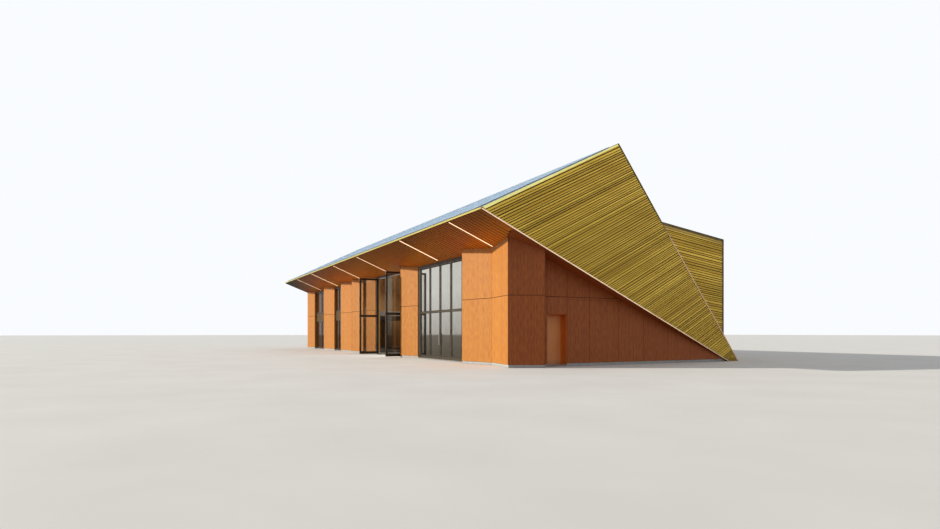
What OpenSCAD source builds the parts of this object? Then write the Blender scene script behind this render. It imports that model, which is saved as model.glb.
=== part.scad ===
// Fire station: one long hall under a folded wedge roof, with a two storey volume behind it.
// Millimetres, Z up, full size. X runs to the right along the front, Y runs inwards.
// The origin lies on the ground, in the middle of the hall floor.
// Every piece is first set out from the right front corner of the hall:
// u goes left along the front, v goes inwards, h goes up.

/* [Piece] */
// Which piece is drawn; all draws the whole building

/* [Hall] */
// Length of the hall between the outer faces of its side walls
hall_length = 36300; // [36000:100:38000]
// Depth of the hall floor from the front line to the middle of the rear foot
hall_depth = 12900; // [12800:50:13000]
// Thickness of the side walls
wall_thickness = 400; // [300:10:450]
// Thickness of the floor slabs on the ground
floor_thickness = 50; // [40:5:80]
// Height of the pale concrete plinth under the timber walls
plinth_height = 120; // [90:10:200]
// Gap between the rear edge of the hall floor and the foot of the rear slope
floor_margin = 50; // [40:5:80]
// Gap left where two sloping or turned pieces seat on each other
seat_gap = 0.5; // [0.3:0.1:0.9]
// How far the window and door line lies behind the front line
door_line = 450; // [440:10:500]
// Thickness of the front piers and the head wall behind the door line
front_thickness = 300; // [250:10:350]
// Drop from the boarded underside to the heads of the front openings
opening_drop = 71; // [50:1:120]

/* [Roof] */
// How far the eave stands out in front of the front line
eave_overhang = 1850; // [1700:50:2000]
// Height of the underside at the eave
eave_height = 6110; // [6000:10:6200]
// Height of the roof edge above the underside at the eave
eave_edge = 70; // [65:5:90]
// Distance from the front line to the point where the underside meets the ground
under_foot = 12940; // [12900:20:13000]
// Distance from the front line to the ridge
ridge_setback = 5300; // [5100:50:5500]
// Height of the ridge
ridge_height = 9740; // [9500:20:9900]
// Distance from the front line to the foot of the rear roof slope
rear_foot = 13760; // [13700:20:13900]
// Upright thickness of the front roof slope
roof_thickness = 350; // [300:10:400]
// Upright thickness of the steep rear roof slope
rear_thickness = 480; // [420:10:540]
// Thickness of the boarded underside
soffit_thickness = 35; // [25:5:45]
// Gap left between side wall and gable panel where the side underside ends
soffit_tail = 28; // [20:2:40]
// How far the crease between front and side underside lies in front of the front line
crease_front = 370; // [300:10:450]
// Width of a light strip
strip_width = 70; // [50:5:90]
// Depth of a light strip below the boards
strip_depth = 22; // [15:1:30]
// Depth of the ridge cap on the front slope
ridge_cap_front = 260; // [180:10:320]
// Depth of the ridge cap on the rear slope
ridge_cap_rear = 200; // [140:10:260]
// Thickness of the ridge cap
ridge_cap_thickness = 25; // [15:5:35]
// Thickness of the eave edge board
fascia_thickness = 30; // [20:5:50]

/* [Gable panels] */
// How far the gable panel stands out from the side wall at the eave
gable_overhang = 1100; // [1050:10:1200]
// Angle in degrees by which a gable panel turns in towards the rear
gable_splay = 4.09; // [3.9:0.05:4.3]
// Thickness of a gable panel
gable_thickness = 120; // [90:10:150]
// Thickness of the edge trims on the gable panels
trim_thickness = 25; // [15:5:40]
// Width of the trim along the lower edge
lower_trim = 50; // [40:5:70]
// Width of the trim along the rear edge
rear_trim = 80; // [60:10:120]
// Height above the ground at which the trims stop
trim_foot = 30; // [20:5:60]
// Depth of the bright verge band at the eave
verge_low = 130; // [100:10:135]
// Depth of the bright verge band at the ridge
verge_high = 70; // [40:10:110]

/* [Front piers] */
// How far the free edge of the corner facet stands out from the side wall
side_fold_out = 660; // [600:5:680]
// Place of that edge behind the front line
side_fold_end = 1320; // [1280:10:1400]
// Place of the fold in the right corner pier
corner_fold = 2090; // [1900:10:2300]
// Setback of that fold behind the front line
corner_fold_setback = 430; // [400:5:435]
// Width of its facet from the fold to its left edge
corner_return = 2040; // [1950:10:2150]
// Width of its low back part beside the closed door
corner_wing = 620; // [500:10:700]
// Distance between the two vehicle doorways, as wide as the pier between them
doorway_spacing = 1560; // [1450:10:1700]
// Width of the slim pier beside the open door
slim_pier_width = 900; // [800:10:1050]
// Setback of its left edge behind the front line
pier_s_setback = 100; // [60:10:140]
// Setback of the right edge of the stepped pier behind the front line
pier_c_setback = 400; // [350:10:440]
// Width of the short facet of the stepped pier
short_facet = 1390; // [1250:10:1550]
// Setback of the notch behind the free edge of that facet
pier_c_notch = 440; // [400:5:445]
// Part of the room left over at the left that its long facet takes, the widest bay has the rest
facet_share = 0.3868; // [0.33:0.0001:0.44]
// Width of the pier between the two left windows
pier_b_width = 2010; // [1850:10:2150]
// Setback of its right edge behind the front line
pier_b_setback = 350; // [300:10:400]
// Width of the left corner pier, from its right edge to the side wall face
left_corner_width = 1550; // [1400:50:1650]
// Setback of its right edge behind the front line
pier_a_setback = 300; // [250:10:350]
// Shadow gap between the pier heads and the boarded underside
head_gap = 30; // [20:5:60]

/* [Folding vehicle doors] */
// Width of one door leaf, four leaves to a doorway
leaf_width = 1300; // [1200:5:1350]
// Width of the jambs at both sides of a doorway
jamb_width = 310; // [290:5:350]
// Thickness of a leaf
leaf_thickness = 60; // [40:5:70]
// Gap between neighbouring leaves
leaf_gap = 10; // [6:1:14]
// Depth of the door and window frames
frame_depth = 100; // [80:5:120]
// Thickness of the frame head under the head wall
frame_head = 50; // [40:5:60]
// Width of the upright bars of a leaf
leaf_stile = 75; // [60:5:90]
// Height of the bottom bar of a leaf
leaf_bottom = 150; // [120:10:180]
// Height of the middle bar of a leaf
leaf_rail = 100; // [80:5:120]
// Height of the middle of the middle bar above the ground
leaf_rail_height = 2560; // [2500:10:2620]
// Height of the top bar of a leaf
leaf_top = 80; // [60:5:100]
// Thickness of the glass
glass_thickness = 24; // [16:2:30]

/* [Windows] */
// Width of the window bay beside the slim pier
right_bay_width = 1700; // [1500:50:1900]
// Width of the window bay at the left of the stepped pier
middle_bay_width = 3250; // [3100:50:3400]
// Width of the bars of the window frames
window_bar = 60; // [50:5:80]
// Top of the lower windows
lower_window_top = 2530; // [2480:10:2580]
// Foot of the upper windows
upper_window_foot = 3170; // [3100:10:3240]
// Place of the upright bar in the widest window bay, as a part of its width
wide_mullion = 0.586; // [0.45:0.01:0.65]
// Place of the upright bar in the window bay beside the stepped pier
middle_mullion = 0.708; // [0.62:0.01:0.78]

/* [Upper floors] */
// Height of the top of the upper floors
storey_height = 2900; // [2850:10:2950]
// How far the upper floor of the rear volume reaches in front of the rear foot of the hall
rear_floor_reach = 300; // [200:50:500]
// Thickness of the upper floors
upper_floor_thickness = 300; // [250:10:320]
// Inner edge of the front upper floor
upper_floor_end = 8000; // [7000:100:8200]

/* [Side door] */
// Front edge of the side doorway
side_door_start = 1900; // [1880:10:1950]
// Width of the side doorway
side_door_width = 1020; // [1000:10:1100]
// Height of the top of the side doorway above the ground
side_door_head = 2240; // [2200:10:2300]
// Width of the side door frame
side_frame = 50; // [40:5:60]
// Thickness of the side door leaf
side_leaf_thickness = 45; // [40:1:50]
// Height of the side door handles above the floor
handle_height = 1050; // [950:10:1100]
// Clearance all round the side door leaf
side_clearance = 8; // [7:1:9]
// Radius of the hinge barrels of the side door
hinge_radius = 8; // [7:1:8]

/* [Rear volume] */
// How far the rear volume is set in from the outer faces of the hall
annex_inset = 3400; // [3300:50:3600]
// Distance from the front line to the outer face of the back wall
annex_end = 16750; // [16600:50:16900]
// Height of the rear volume at its back wall
annex_height = 6900; // [6800:50:7000]
// Rise of its roof towards the hall for each unit of length
annex_rise = 0.127; // [0.11:0.001:0.14]
// Thickness of its walls
annex_wall = 300; // [250:10:350]
// Upright thickness of its roof
annex_roof = 350; // [300:10:400]
// How far its roof edge stands out beyond the back wall
annex_drip = 35; // [30:5:60]
// Width of the dark edge trim of the rear volume
annex_trim = 120; // [80:10:160]
// Number of windows in each storey of the back wall
back_windows = 6; // [4:1:6]
// Width of a back window
back_window_width = 1800; // [1400:50:2200]
// Height of a back window
back_window_height = 1300; // [1100:50:1400]
// Width of the bars of the back window frames
back_window_bar = 60; // [50:5:80]
// Depth of the back window frames
back_frame_depth = 80; // [60:5:100]
// Setback of the back window frames behind the outer face
back_frame_setback = 80; // [60:5:100]
// Height of the sill of a back window above its floor
back_window_sill = 950; // [900:10:1000]

/* [Hidden] */

// A size to a tenth of a millimetre
function tenth(x) = round(10 * x) / 10;

// Slopes and heights that follow from the sizes above
eave_top = eave_height + eave_edge;
under_slope = eave_height / (under_foot + eave_overhang);
front_slope = (ridge_height - eave_top) / (ridge_setback + eave_overhang);
rear_slope = ridge_height / (rear_foot - ridge_setback);
front_back = door_line + front_thickness;
opening_head = tenth(under(door_line) - opening_drop);
inner_foot = tenth(rear_foot - rear_thickness / rear_slope - floor_margin);
leaf_head = opening_head - frame_head;

// Places along the front, from the right corner to the left one
doorway_width = 4 * leaf_width + 2 * jamb_width;
corner_end = corner_fold + corner_return;
closed_start = corner_end + corner_wing;
closed_end = closed_start + doorway_width;
open_start = closed_end + doorway_spacing;
open_end = open_start + doorway_width;
pier_s_end = open_end + slim_pier_width;
pier_c_start = pier_s_end + right_bay_width;
pier_c_fold = pier_c_start + short_facet;
pier_a_start = hall_length - left_corner_width;
room_left = pier_a_start - pier_c_fold - middle_bay_width - pier_b_width;
pier_c_end = tenth(pier_c_fold + facet_share * room_left);
pier_b_start = pier_c_end + middle_bay_width;
pier_b_end = pier_b_start + pier_b_width;

// Side door and its hinges
side_door_end = side_door_start + side_door_width;
side_leaf_face = wall_thickness - 5 - side_leaf_thickness;
hinge_u = wall_thickness + hinge_radius + 1;
hinge_v = side_door_end - side_frame - side_clearance / 2;
hinge_heights = [250, 1120, 1990];
hinge_half = 45;
tall = 1.25 * ridge_height;

// Height of the main lines of the cross section at a distance v from the front line
function under(v) = under_slope * (under_foot - v);
function front_top(v) = eave_top + front_slope * (v + eave_overhang);
function front_under(v) = front_top(v) - roof_thickness;
function rear_top(v) = rear_slope * (rear_foot - v);
function rear_under(v) = rear_top(v) - rear_thickness;
function annex_top(v) = annex_height + annex_rise * (annex_end - v);
function annex_under(v) = annex_top(v) - annex_roof;
// Place where a line below the annex roof by d meets the outer face of the rear slope
function annex_meet(d) =
  (rear_slope * rear_foot - annex_height - annex_rise * annex_end + d)
    / (rear_slope - annex_rise) + seat_gap;
// Outer and inner face of the right gable panel in plan
function gable_out(v) = -gable_overhang + tan(gable_splay) * (v + eave_overhang);
function gable_in(v) = gable_out(v) + gable_thickness / cos(gable_splay);
// Setback of the right corner facet at a distance u from the corner
function corner_facet(u) = corner_fold_setback * u / corner_fold;

// Set out from the right front corner, u to the left and v inwards
module set_out() {
  translate([hall_length / 2, -hall_depth / 2, 0])
    mirror([1, 0, 0])
      children();
}

// The same, and once more mirrored to the other end of the hall
module both_ends() {
  children();
  translate([hall_length, 0, 0]) mirror([1, 0, 0]) children();
}

// A cross section in v and h, drawn out along u
module along_front(u0, u1, outline) {
  translate([u0, 0, 0])
    rotate([90, 0, 90])
      linear_extrude(u1 - u0)
        polygon(outline);
}

// A plain block from its two corners
module block(a, b) {
  translate(a) cube(b - a);
}

// Everything between the inner faces of the two gable panels
module between_gables() {
  v0 = -eave_overhang - 100;
  v1 = rear_foot + 100;
  a = gable_in(v0) + seat_gap;
  b = gable_in(v1) + seat_gap;
  linear_extrude(tall)
    polygon([[a, v0], [b, v1], [hall_length - b, v1], [hall_length - a, v0]]);
}

// A layer of the right gable panel from a to b behind its outer face, cut to a cross section
module gable_layer(a, b, outline) {
  v0 = -eave_overhang - 100;
  v1 = rear_foot + 100;
  c = cos(gable_splay);
  intersection() {
    linear_extrude(tall)
      polygon([[gable_out(v0) + a / c, v0], [gable_out(v1) + a / c, v1],
        [gable_out(v1) + b / c, v1], [gable_out(v0) + b / c, v0]]);
    along_front(-2 * gable_overhang, gable_overhang, outline);
  }
}

// Cross section of the side walls under the roof, from v0 to v1
module wall_section(u0, u1, foot, v0, v1) {
  g = seat_gap;
  meet = rear_foot - (rear_thickness + foot) / rear_slope - g;
  intersection() {
    along_front(u0, u1, [[0, foot], [0, under(0) - g], [door_line, under(door_line) - g],
      [door_line, front_under(door_line) - g], [ridge_setback, front_under(ridge_setback) - g],
      [ridge_setback, rear_under(ridge_setback) - g * rear_slope], [meet, foot]]);
    block([u0 - 1, v0, 0], [u1 + 1, v1, tall]);
    between_gables();
  }
}

// Plan of the wall end at the corner
module corner_wall_plan(v1) {
  polygon([[0, 0], [wall_thickness, corner_facet(wall_thickness)], [wall_thickness, v1], [0, v1]]);
}

// Plan of the facet that turns out from the corner, in front of the side wall
module side_fold_plan() {
  g = seat_gap;
  polygon([[-g, side_fold_end * g / side_fold_out], [-g, side_fold_end],
    [-side_fold_out, side_fold_end]]);
}

// Turned facet beside the corner, up to the underside of the roof
module side_fold() {
  g = seat_gap;
  intersection() {
    linear_extrude(tall) side_fold_plan();
    along_front(-side_fold_out - 1, 0, [[0, plinth_height], [0, under(0) - g],
      [side_fold_end + 1, under(side_fold_end + 1) - g], [side_fold_end + 1, plinth_height]]);
  }
}

// A front pier: its plan up to the soffit, less the shadow gap
module pier(plan, gap) {
  intersection() {
    linear_extrude(tall) polygon(plan);
    along_front(0, hall_length, [[-1, plinth_height], [-1, under(-1) - gap],
      [door_line, under(door_line) - gap], [door_line, opening_head],
      [front_back, opening_head], [front_back, plinth_height]]);
  }
}

// Plans of the front piers
corner_pier_right_plan = [[wall_thickness, corner_facet(wall_thickness)],
  [corner_fold, corner_fold_setback], [corner_end, 0], [corner_end, door_line],
  [closed_start, door_line], [closed_start, front_back], [wall_thickness, front_back]];
pier_between_doors_plan = [[closed_end, door_line], [open_start, 0],
  [open_start, front_back], [closed_end, front_back]];
slim_pier_plan = [[open_end, door_line], [pier_s_end, pier_s_setback],
  [pier_s_end, front_back], [open_end, front_back]];
folded_pier_plan = [[pier_c_start, pier_c_setback], [pier_c_fold, 0],
  [pier_c_fold, pier_c_notch], [pier_c_end, 0], [pier_c_end, front_back],
  [pier_c_start, front_back]];
pier_between_windows_plan = [[pier_b_start, pier_b_setback], [pier_b_end, 0],
  [pier_b_end, front_back], [pier_b_start, front_back]];
left_facet = pier_a_setback * wall_thickness / (hall_length - pier_a_start);
corner_pier_left_plan = [[pier_a_start, pier_a_setback],
  [hall_length - wall_thickness, left_facet], [hall_length - wall_thickness, front_back],
  [pier_a_start, front_back]];

// Window bays as start and end along the front
bays = [[pier_s_end, pier_c_start], [pier_c_end, pier_b_start], [pier_b_end, pier_a_start]];

// Ground floor of the hall
module hall_floor() {
  color("#9c9a94")
    set_out()
      block([wall_thickness, front_back, 0],
        [hall_length - wall_thickness, inner_foot, floor_thickness]);
}

// Ground floor of the rear volume
module rear_floor() {
  color("#9c9a94")
    set_out()
      block([annex_inset + annex_wall, inner_foot, 0],
        [hall_length - annex_inset - annex_wall, annex_end - annex_wall - seat_gap,
          floor_thickness]);
}

// Concrete sills under the doors and window bays
module door_sills() {
  color("#8f8c86")
    set_out() {
      block([closed_start, door_line, 0], [closed_end, front_back, floor_thickness]);
      block([open_start, door_line, 0], [open_end, front_back, floor_thickness]);
      for (bay = bays)
        block([bay[0], door_line, 0], [bay[1], front_back, floor_thickness]);
      block([0, side_door_start, 0], [wall_thickness, side_door_end, floor_thickness]);
    }
}

// Concrete plinths under the front piers
module front_plinths() {
  color("#c8c3b8")
    set_out()
      linear_extrude(plinth_height) {
        polygon(corner_pier_right_plan);
        polygon(pier_between_doors_plan);
        polygon(slim_pier_plan);
        polygon(folded_pier_plan);
        polygon(pier_between_windows_plan);
        polygon(corner_pier_left_plan);
      }
}

// Concrete plinths under the side walls
module side_plinths() {
  foot = rear_foot - (rear_thickness + plinth_height) / rear_slope - seat_gap;
  color("#c8c3b8")
    set_out()
      intersection() {
        union() {
          linear_extrude(plinth_height) corner_wall_plan(side_door_start);
          linear_extrude(plinth_height) side_fold_plan();
          block([0, side_door_end, 0], [wall_thickness, foot, plinth_height]);
          translate([hall_length, 0, 0]) mirror([1, 0, 0]) {
            linear_extrude(plinth_height) corner_wall_plan(side_door_start);
            linear_extrude(plinth_height) side_fold_plan();
            block([0, side_door_start, 0], [wall_thickness, foot, plinth_height]);
          }
        }
        between_gables();
      }
}

// Upper floor behind the window bays at the left, and that of the rear volume
module upper_floors() {
  low = storey_height - upper_floor_thickness;
  color("#a8a49b")
    set_out() {
      block([open_end, front_back, low],
        [hall_length - wall_thickness, upper_floor_end, storey_height]);
      block([annex_inset + annex_wall, hall_depth - rear_floor_reach, low],
        [hall_length - annex_inset - annex_wall, annex_end - annex_wall, storey_height]);
    }
}

// Corner pier at the right with its inward fold
module corner_pier_right() {
  color("#d98a45") set_out() pier(corner_pier_right_plan, seat_gap);
}

// Pier between the two vehicle doors
module pier_between_doors() {
  color("#d98a45") set_out() pier(pier_between_doors_plan, head_gap);
}

// Slim pier beside the open doorway
module slim_pier() {
  color("#d98a45") set_out() pier(slim_pier_plan, head_gap);
}

// Stepped pier with two facets
module folded_pier() {
  color("#d98a45") set_out() pier(folded_pier_plan, head_gap);
}

// Pier between the two left window bays
module pier_between_windows() {
  color("#d98a45") set_out() pier(pier_between_windows_plan, head_gap);
}

// Corner pier at the left
module corner_pier_left() {
  color("#d98a45") set_out() pier(corner_pier_left_plan, head_gap);
}

// Wall above the openings, from their heads up to the roof
module front_head_wall() {
  color("#4a4c4c")
    set_out()
      along_front(wall_thickness, hall_length - wall_thickness,
        [[door_line, opening_head], [front_back, opening_head],
          [front_back, front_under(front_back) - seat_gap],
          [door_line, front_under(door_line) - seat_gap]]);
}

// Frame of one vehicle doorway: two broad jambs and a head
module doorway_frame(u0) {
  difference() {
    block([u0, door_line, floor_thickness],
      [u0 + doorway_width, door_line + frame_depth, opening_head]);
    block([u0 + jamb_width, door_line - 1, floor_thickness - 1],
      [u0 + doorway_width - jamb_width, door_line + frame_depth + 1, leaf_head]);
  }
}

// Frames of both vehicle doorways
module vehicle_door_frames() {
  color("#4b433a")
    set_out() {
      doorway_frame(closed_start);
      doorway_frame(open_start);
    }
}

// One glazed leaf, x across it, y through it
module leaf() {
  wide = leaf_width - leaf_gap;
  difference() {
    block([0, 0, floor_thickness], [wide, leaf_thickness, leaf_head]);
    block([leaf_stile, -1, floor_thickness + leaf_bottom],
      [wide - leaf_stile, leaf_thickness + 1, leaf_rail_height - leaf_rail / 2]);
    block([leaf_stile, -1, leaf_rail_height + leaf_rail / 2],
      [wide - leaf_stile, leaf_thickness + 1, leaf_head - leaf_top]);
  }
}

// The two panes of one leaf
module leaf_panes() {
  wide = leaf_width - leaf_gap;
  y0 = (leaf_thickness - glass_thickness) / 2;
  block([leaf_stile, y0, floor_thickness + leaf_bottom],
    [wide - leaf_stile, y0 + glass_thickness, leaf_rail_height - leaf_rail / 2]);
  block([leaf_stile, y0, leaf_rail_height + leaf_rail / 2],
    [wide - leaf_stile, y0 + glass_thickness, leaf_head - leaf_top]);
}

// Places of the four leaves of the closed door
module at_closed_leaves() {
  for (i = [0:3])
    translate([closed_start + jamb_width + i * leaf_width + leaf_gap / 2, door_line + 20, 0])
      children();
}

// Places of the four leaves of the open door, two folded out at each side
module at_open_leaves() {
  turn = door_line + 50;
  for (i = [0:1]) {
    translate([open_start + jamb_width + (i + 1) * (leaf_thickness + leaf_gap), turn, 0])
      rotate([0, 0, -90]) mirror([0, 1, 0]) children();
    translate([open_end - jamb_width - i * (leaf_thickness + leaf_gap), turn, 0])
      rotate([0, 0, -90]) mirror([0, 1, 0]) children();
  }
}

// Leaves of the closed vehicle door
module closed_door_leaves() {
  color("#6e6455") set_out() at_closed_leaves() leaf();
}

// Leaves of the open vehicle door
module open_door_leaves() {
  color("#4b433a") set_out() at_open_leaves() leaf();
}

// Glass of all vehicle door leaves
module vehicle_door_glass() {
  color("#9fb0b4")
    set_out() {
      at_closed_leaves() leaf_panes();
      at_open_leaves() leaf_panes();
    }
}

// Part of a window bay at which its upright bar stands, none where it has no bar
function bar_share(bay) = bay[0] == pier_b_end ? wide_mullion
  : bay[0] == pier_c_end ? middle_mullion : 0;

// Columns of panes in a window bay, as start and end along the front
function columns(bay) = bar_share(bay) > 0
  ? let (m = tenth(bay[0] + bar_share(bay) * (bay[1] - bay[0])))
    [[bay[0] + window_bar, m - window_bar / 2], [m + window_bar / 2, bay[1] - window_bar]]
  : [[bay[0] + window_bar, bay[1] - window_bar]];

// Frames of the three window bays
module window_frames() {
  color("#4b433a")
    set_out()
      for (bay = bays)
        difference() {
          block([bay[0], door_line, floor_thickness],
            [bay[1], door_line + frame_depth, opening_head]);
          for (c = columns(bay)) {
            block([c[0], door_line - 1, floor_thickness + window_bar],
              [c[1], door_line + frame_depth + 1, lower_window_top - window_bar]);
            block([c[0], door_line - 1, upper_window_foot + window_bar],
              [c[1], door_line + frame_depth + 1, opening_head - window_bar]);
          }
          block([bay[0] + window_bar, door_line - 1, lower_window_top],
            [bay[1] - window_bar, door_line + frame_depth + 1, upper_window_foot]);
        }
}

// Closed panels between the lower and the upper windows
module window_spandrels() {
  color("#82735a")
    set_out()
      for (bay = bays)
        block([bay[0] + window_bar, door_line + 15, lower_window_top],
          [bay[1] - window_bar, door_line + frame_depth, upper_window_foot]);
}

// Panes of the three window bays
module window_glass() {
  y0 = door_line + 40;
  color("#9fb0b4")
    set_out()
      for (bay = bays)
        for (c = columns(bay)) {
          block([c[0], y0, floor_thickness + window_bar],
            [c[1], y0 + glass_thickness, lower_window_top - window_bar]);
          block([c[0], y0, upper_window_foot + window_bar],
            [c[1], y0 + glass_thickness, opening_head - window_bar]);
        }
}

// The boarded underside as a sloping layer of a given plan
module underside(plan, low, high) {
  intersection() {
    along_front(-gable_overhang - 100, hall_length + gable_overhang + 100,
      [[-eave_overhang, under(-eave_overhang) + low], [under_foot - 200, under(under_foot - 200) + low],
        [under_foot - 200, under(under_foot - 200) + high],
        [-eave_overhang, under(-eave_overhang) + high]]);
    linear_extrude(tall) polygon(plan);
  }
}

// Line in plan where the front and side undersides meet
crease = -crease_front;

// Boarded underside in front of the front line
module front_soffit() {
  far = hall_length;
  outer = gable_in(-eave_overhang) + seat_gap;
  corner = gable_in(crease) + seat_gap;
  color("#a2581f")
    set_out()
      underside([[outer, -eave_overhang], [corner, crease], [0, 0],
        [0, door_line], [far, door_line], [far, 0], [far - corner, crease],
        [far - outer, -eave_overhang]], 0, soffit_thickness);
}

// Undersides between the side walls and the gable panels
module side_soffits() {
  end = (gable_overhang - gable_thickness / cos(gable_splay) - soffit_tail) / tan(gable_splay)
    - eave_overhang;
  g = seat_gap;
  color("#5c3018")
    set_out()
      both_ends()
        underside([[gable_in(crease) + g, crease + g], [0, g], [0, end],
          [gable_in(end) + g, end]], 0, soffit_thickness);
}

// Light strips under the front soffit
strips = [corner_fold - 260, closed_start + 2850, open_start + 2800, pier_c_start - 140,
  pier_b_start - 1200, (pier_b_end + pier_a_start) / 2 - 80];
module light_strips() {
  low = -eave_overhang + 40;
  high = door_line * 2 / 3;
  color("#f3dcc0")
    set_out()
      for (u = strips)
        along_front(u - strip_width / 2, u + strip_width / 2,
          [[low, under(low) - strip_depth], [high, under(high) - strip_depth],
          [high, under(high) - seat_gap], [low, under(low) - seat_gap]]);
}

// Front roof slope from the eave to the ridge
module front_roof() {
  gap = soffit_thickness + seat_gap;
  meet = (eave_height + gap - eave_top + roof_thickness) / (front_slope + under_slope)
    - eave_overhang;
  color("#8ca0b4")
    set_out()
      intersection() {
        along_front(-gable_overhang, hall_length + gable_overhang,
          [[-eave_overhang, eave_top], [-eave_overhang, eave_height + gap],
            [meet, under(meet) + gap], [ridge_setback, front_under(ridge_setback)],
            [ridge_setback, ridge_height]]);
        between_gables();
      }
}

// Edge board along the eave
module eave_fascia() {
  color("#f2e27a")
    set_out()
      block([gable_out(-eave_overhang), -eave_overhang - fascia_thickness, eave_height],
        [hall_length - gable_out(-eave_overhang), -eave_overhang, eave_top]);
}

// Folded metal cap on the ridge
module ridge_cap() {
  a = ridge_setback - ridge_cap_front;
  b = ridge_setback + ridge_cap_rear;
  g = seat_gap;
  t = ridge_cap_thickness;
  color("#7d7648")
    set_out()
      along_front(gable_out(ridge_setback), hall_length - gable_out(ridge_setback),
        [[a, front_top(a) + g], [ridge_setback, ridge_height + g], [b, rear_top(b) + g],
          [b, rear_top(b) + t], [ridge_setback, ridge_height + t], [a, front_top(a) + t]]);
}

// Steep rear slope down to the ground, open towards the rear volume
module rear_roof_slope() {
  foot = rear_thickness / rear_slope;
  color("#a58c32")
    set_out()
      difference() {
        intersection() {
          along_front(-gable_overhang, hall_length + gable_overhang,
            [[ridge_setback, ridge_height], [ridge_setback, rear_under(ridge_setback)],
              [rear_foot - foot, 0], [rear_foot, 0]]);
          between_gables();
        }
        along_front(annex_inset + annex_wall, hall_length - annex_inset - annex_wall,
          [[ridge_setback, -1], [rear_foot + 1, -1], [rear_foot + 1, annex_under(rear_foot + 1)],
            [ridge_setback, annex_under(ridge_setback)]]);
      }
}

// One gable panel, cut to the lines of the roof and the underside
module gable_panel() {
  front = -eave_overhang;
  gable_layer(0, gable_thickness,
    [[front, eave_height], [front, eave_top], [ridge_setback, ridge_height], [rear_foot, 0],
      [under_foot, 0]]);
}

// Clad gable panel at the right
module gable_panel_right() {
  color("#a58c32") set_out() gable_panel();
}

// Clad gable panel at the left
module gable_panel_left() {
  color("#a58c32")
    set_out()
      translate([hall_length, 0, 0]) mirror([1, 0, 0]) gable_panel();
}

// A flat trim on the outer face of each gable panel
module gable_trim(outline) {
  set_out()
    both_ends()
      gable_layer(-trim_thickness, -seat_gap, outline);
}

// Pale trims along the lower edges of the gable panels
module gable_lower_trims() {
  front = -eave_overhang;
  foot = under_foot - trim_foot / under_slope;
  color("#e1c3aa")
    gable_trim([[front, eave_height], [front, eave_height + lower_trim],
      [foot + lower_trim / under_slope, trim_foot], [foot, trim_foot]]);
}

// Bright verge bands along the upper edges of the gable panels
module gable_verge_bands() {
  start = 60 - eave_overhang;
  full = 170 - eave_overhang;
  end = ridge_setback - 60;
  color("#f2e27a")
    gable_trim([[start, front_top(start) - 30], [start, front_top(start)],
      [end, front_top(end)], [end, front_top(end) - verge_high],
      [full, front_top(full) - verge_low]]);
}

// Dark trims along the rear edges of the gable panels
module gable_rear_trims() {
  foot = rear_foot - trim_foot / rear_slope;
  color("#463c28")
    gable_trim([[ridge_setback, ridge_height], [ridge_setback, ridge_height - rear_trim * rear_slope],
      [foot - rear_trim, trim_foot], [foot, trim_foot]]);
}

// Side wall between the right corner and the side doorway
module right_wall_front() {
  color("#8a4a22")
    set_out() {
      intersection() {
        wall_section(0, wall_thickness, plinth_height, 0, side_door_start);
        linear_extrude(tall) corner_wall_plan(side_door_start);
      }
      side_fold();
    }
}

// Side wall above the side doorway
module right_wall_over_door() {
  color("#8a4a22")
    set_out()
      wall_section(0, wall_thickness, side_door_head, side_door_start, side_door_end);
}

// Side wall from the side doorway to the rear foot
module right_wall_rear() {
  color("#8a4a22")
    set_out()
      wall_section(0, wall_thickness, plinth_height, side_door_end, rear_foot);
}

// Side wall at the left, without a doorway
module left_side_wall() {
  color("#8a4a22")
    set_out()
      translate([hall_length, 0, 0])
        mirror([1, 0, 0]) {
          intersection() {
            wall_section(0, wall_thickness, plinth_height, 0, rear_foot);
            linear_extrude(tall)
              union() {
                corner_wall_plan(side_door_start);
                translate([0, side_door_start]) square([wall_thickness, rear_foot]);
              }
          }
          side_fold();
        }
}

// Frame of the side door with its stop towards the outside and the fixed hinge halves
module side_door_frame() {
  near = wall_thickness - 100;
  stop = 15;
  color("#5a3a20")
    set_out() {
      difference() {
        block([near, side_door_start, floor_thickness],
          [wall_thickness, side_door_end, side_door_head]);
        block([near - 1, side_door_start + side_frame + stop, floor_thickness - 1],
          [wall_thickness + 1, side_door_end - side_frame - stop,
            side_door_head - side_frame - stop]);
        block([side_leaf_face - 5, side_door_start + side_frame, floor_thickness - 1],
          [wall_thickness + 1, side_door_end - side_frame, side_door_head - side_frame]);
      }
      for (h = hinge_heights) {
        translate([hinge_u, hinge_v, h - hinge_half])
          cylinder(h = hinge_half, r = hinge_radius, $fn = 48);
        block([wall_thickness, hinge_v + 2, h - hinge_half],
          [wall_thickness + 4, side_door_end - 6, h]);
      }
    }
}

// Leaf of the side door
module side_door_leaf() {
  edge = side_frame + side_clearance;
  color("#8c5232")
    set_out()
      block([side_leaf_face, side_door_start + edge, floor_thickness + side_clearance],
        [side_leaf_face + side_leaf_thickness, side_door_end - edge, side_door_head - edge]);
}

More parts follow.
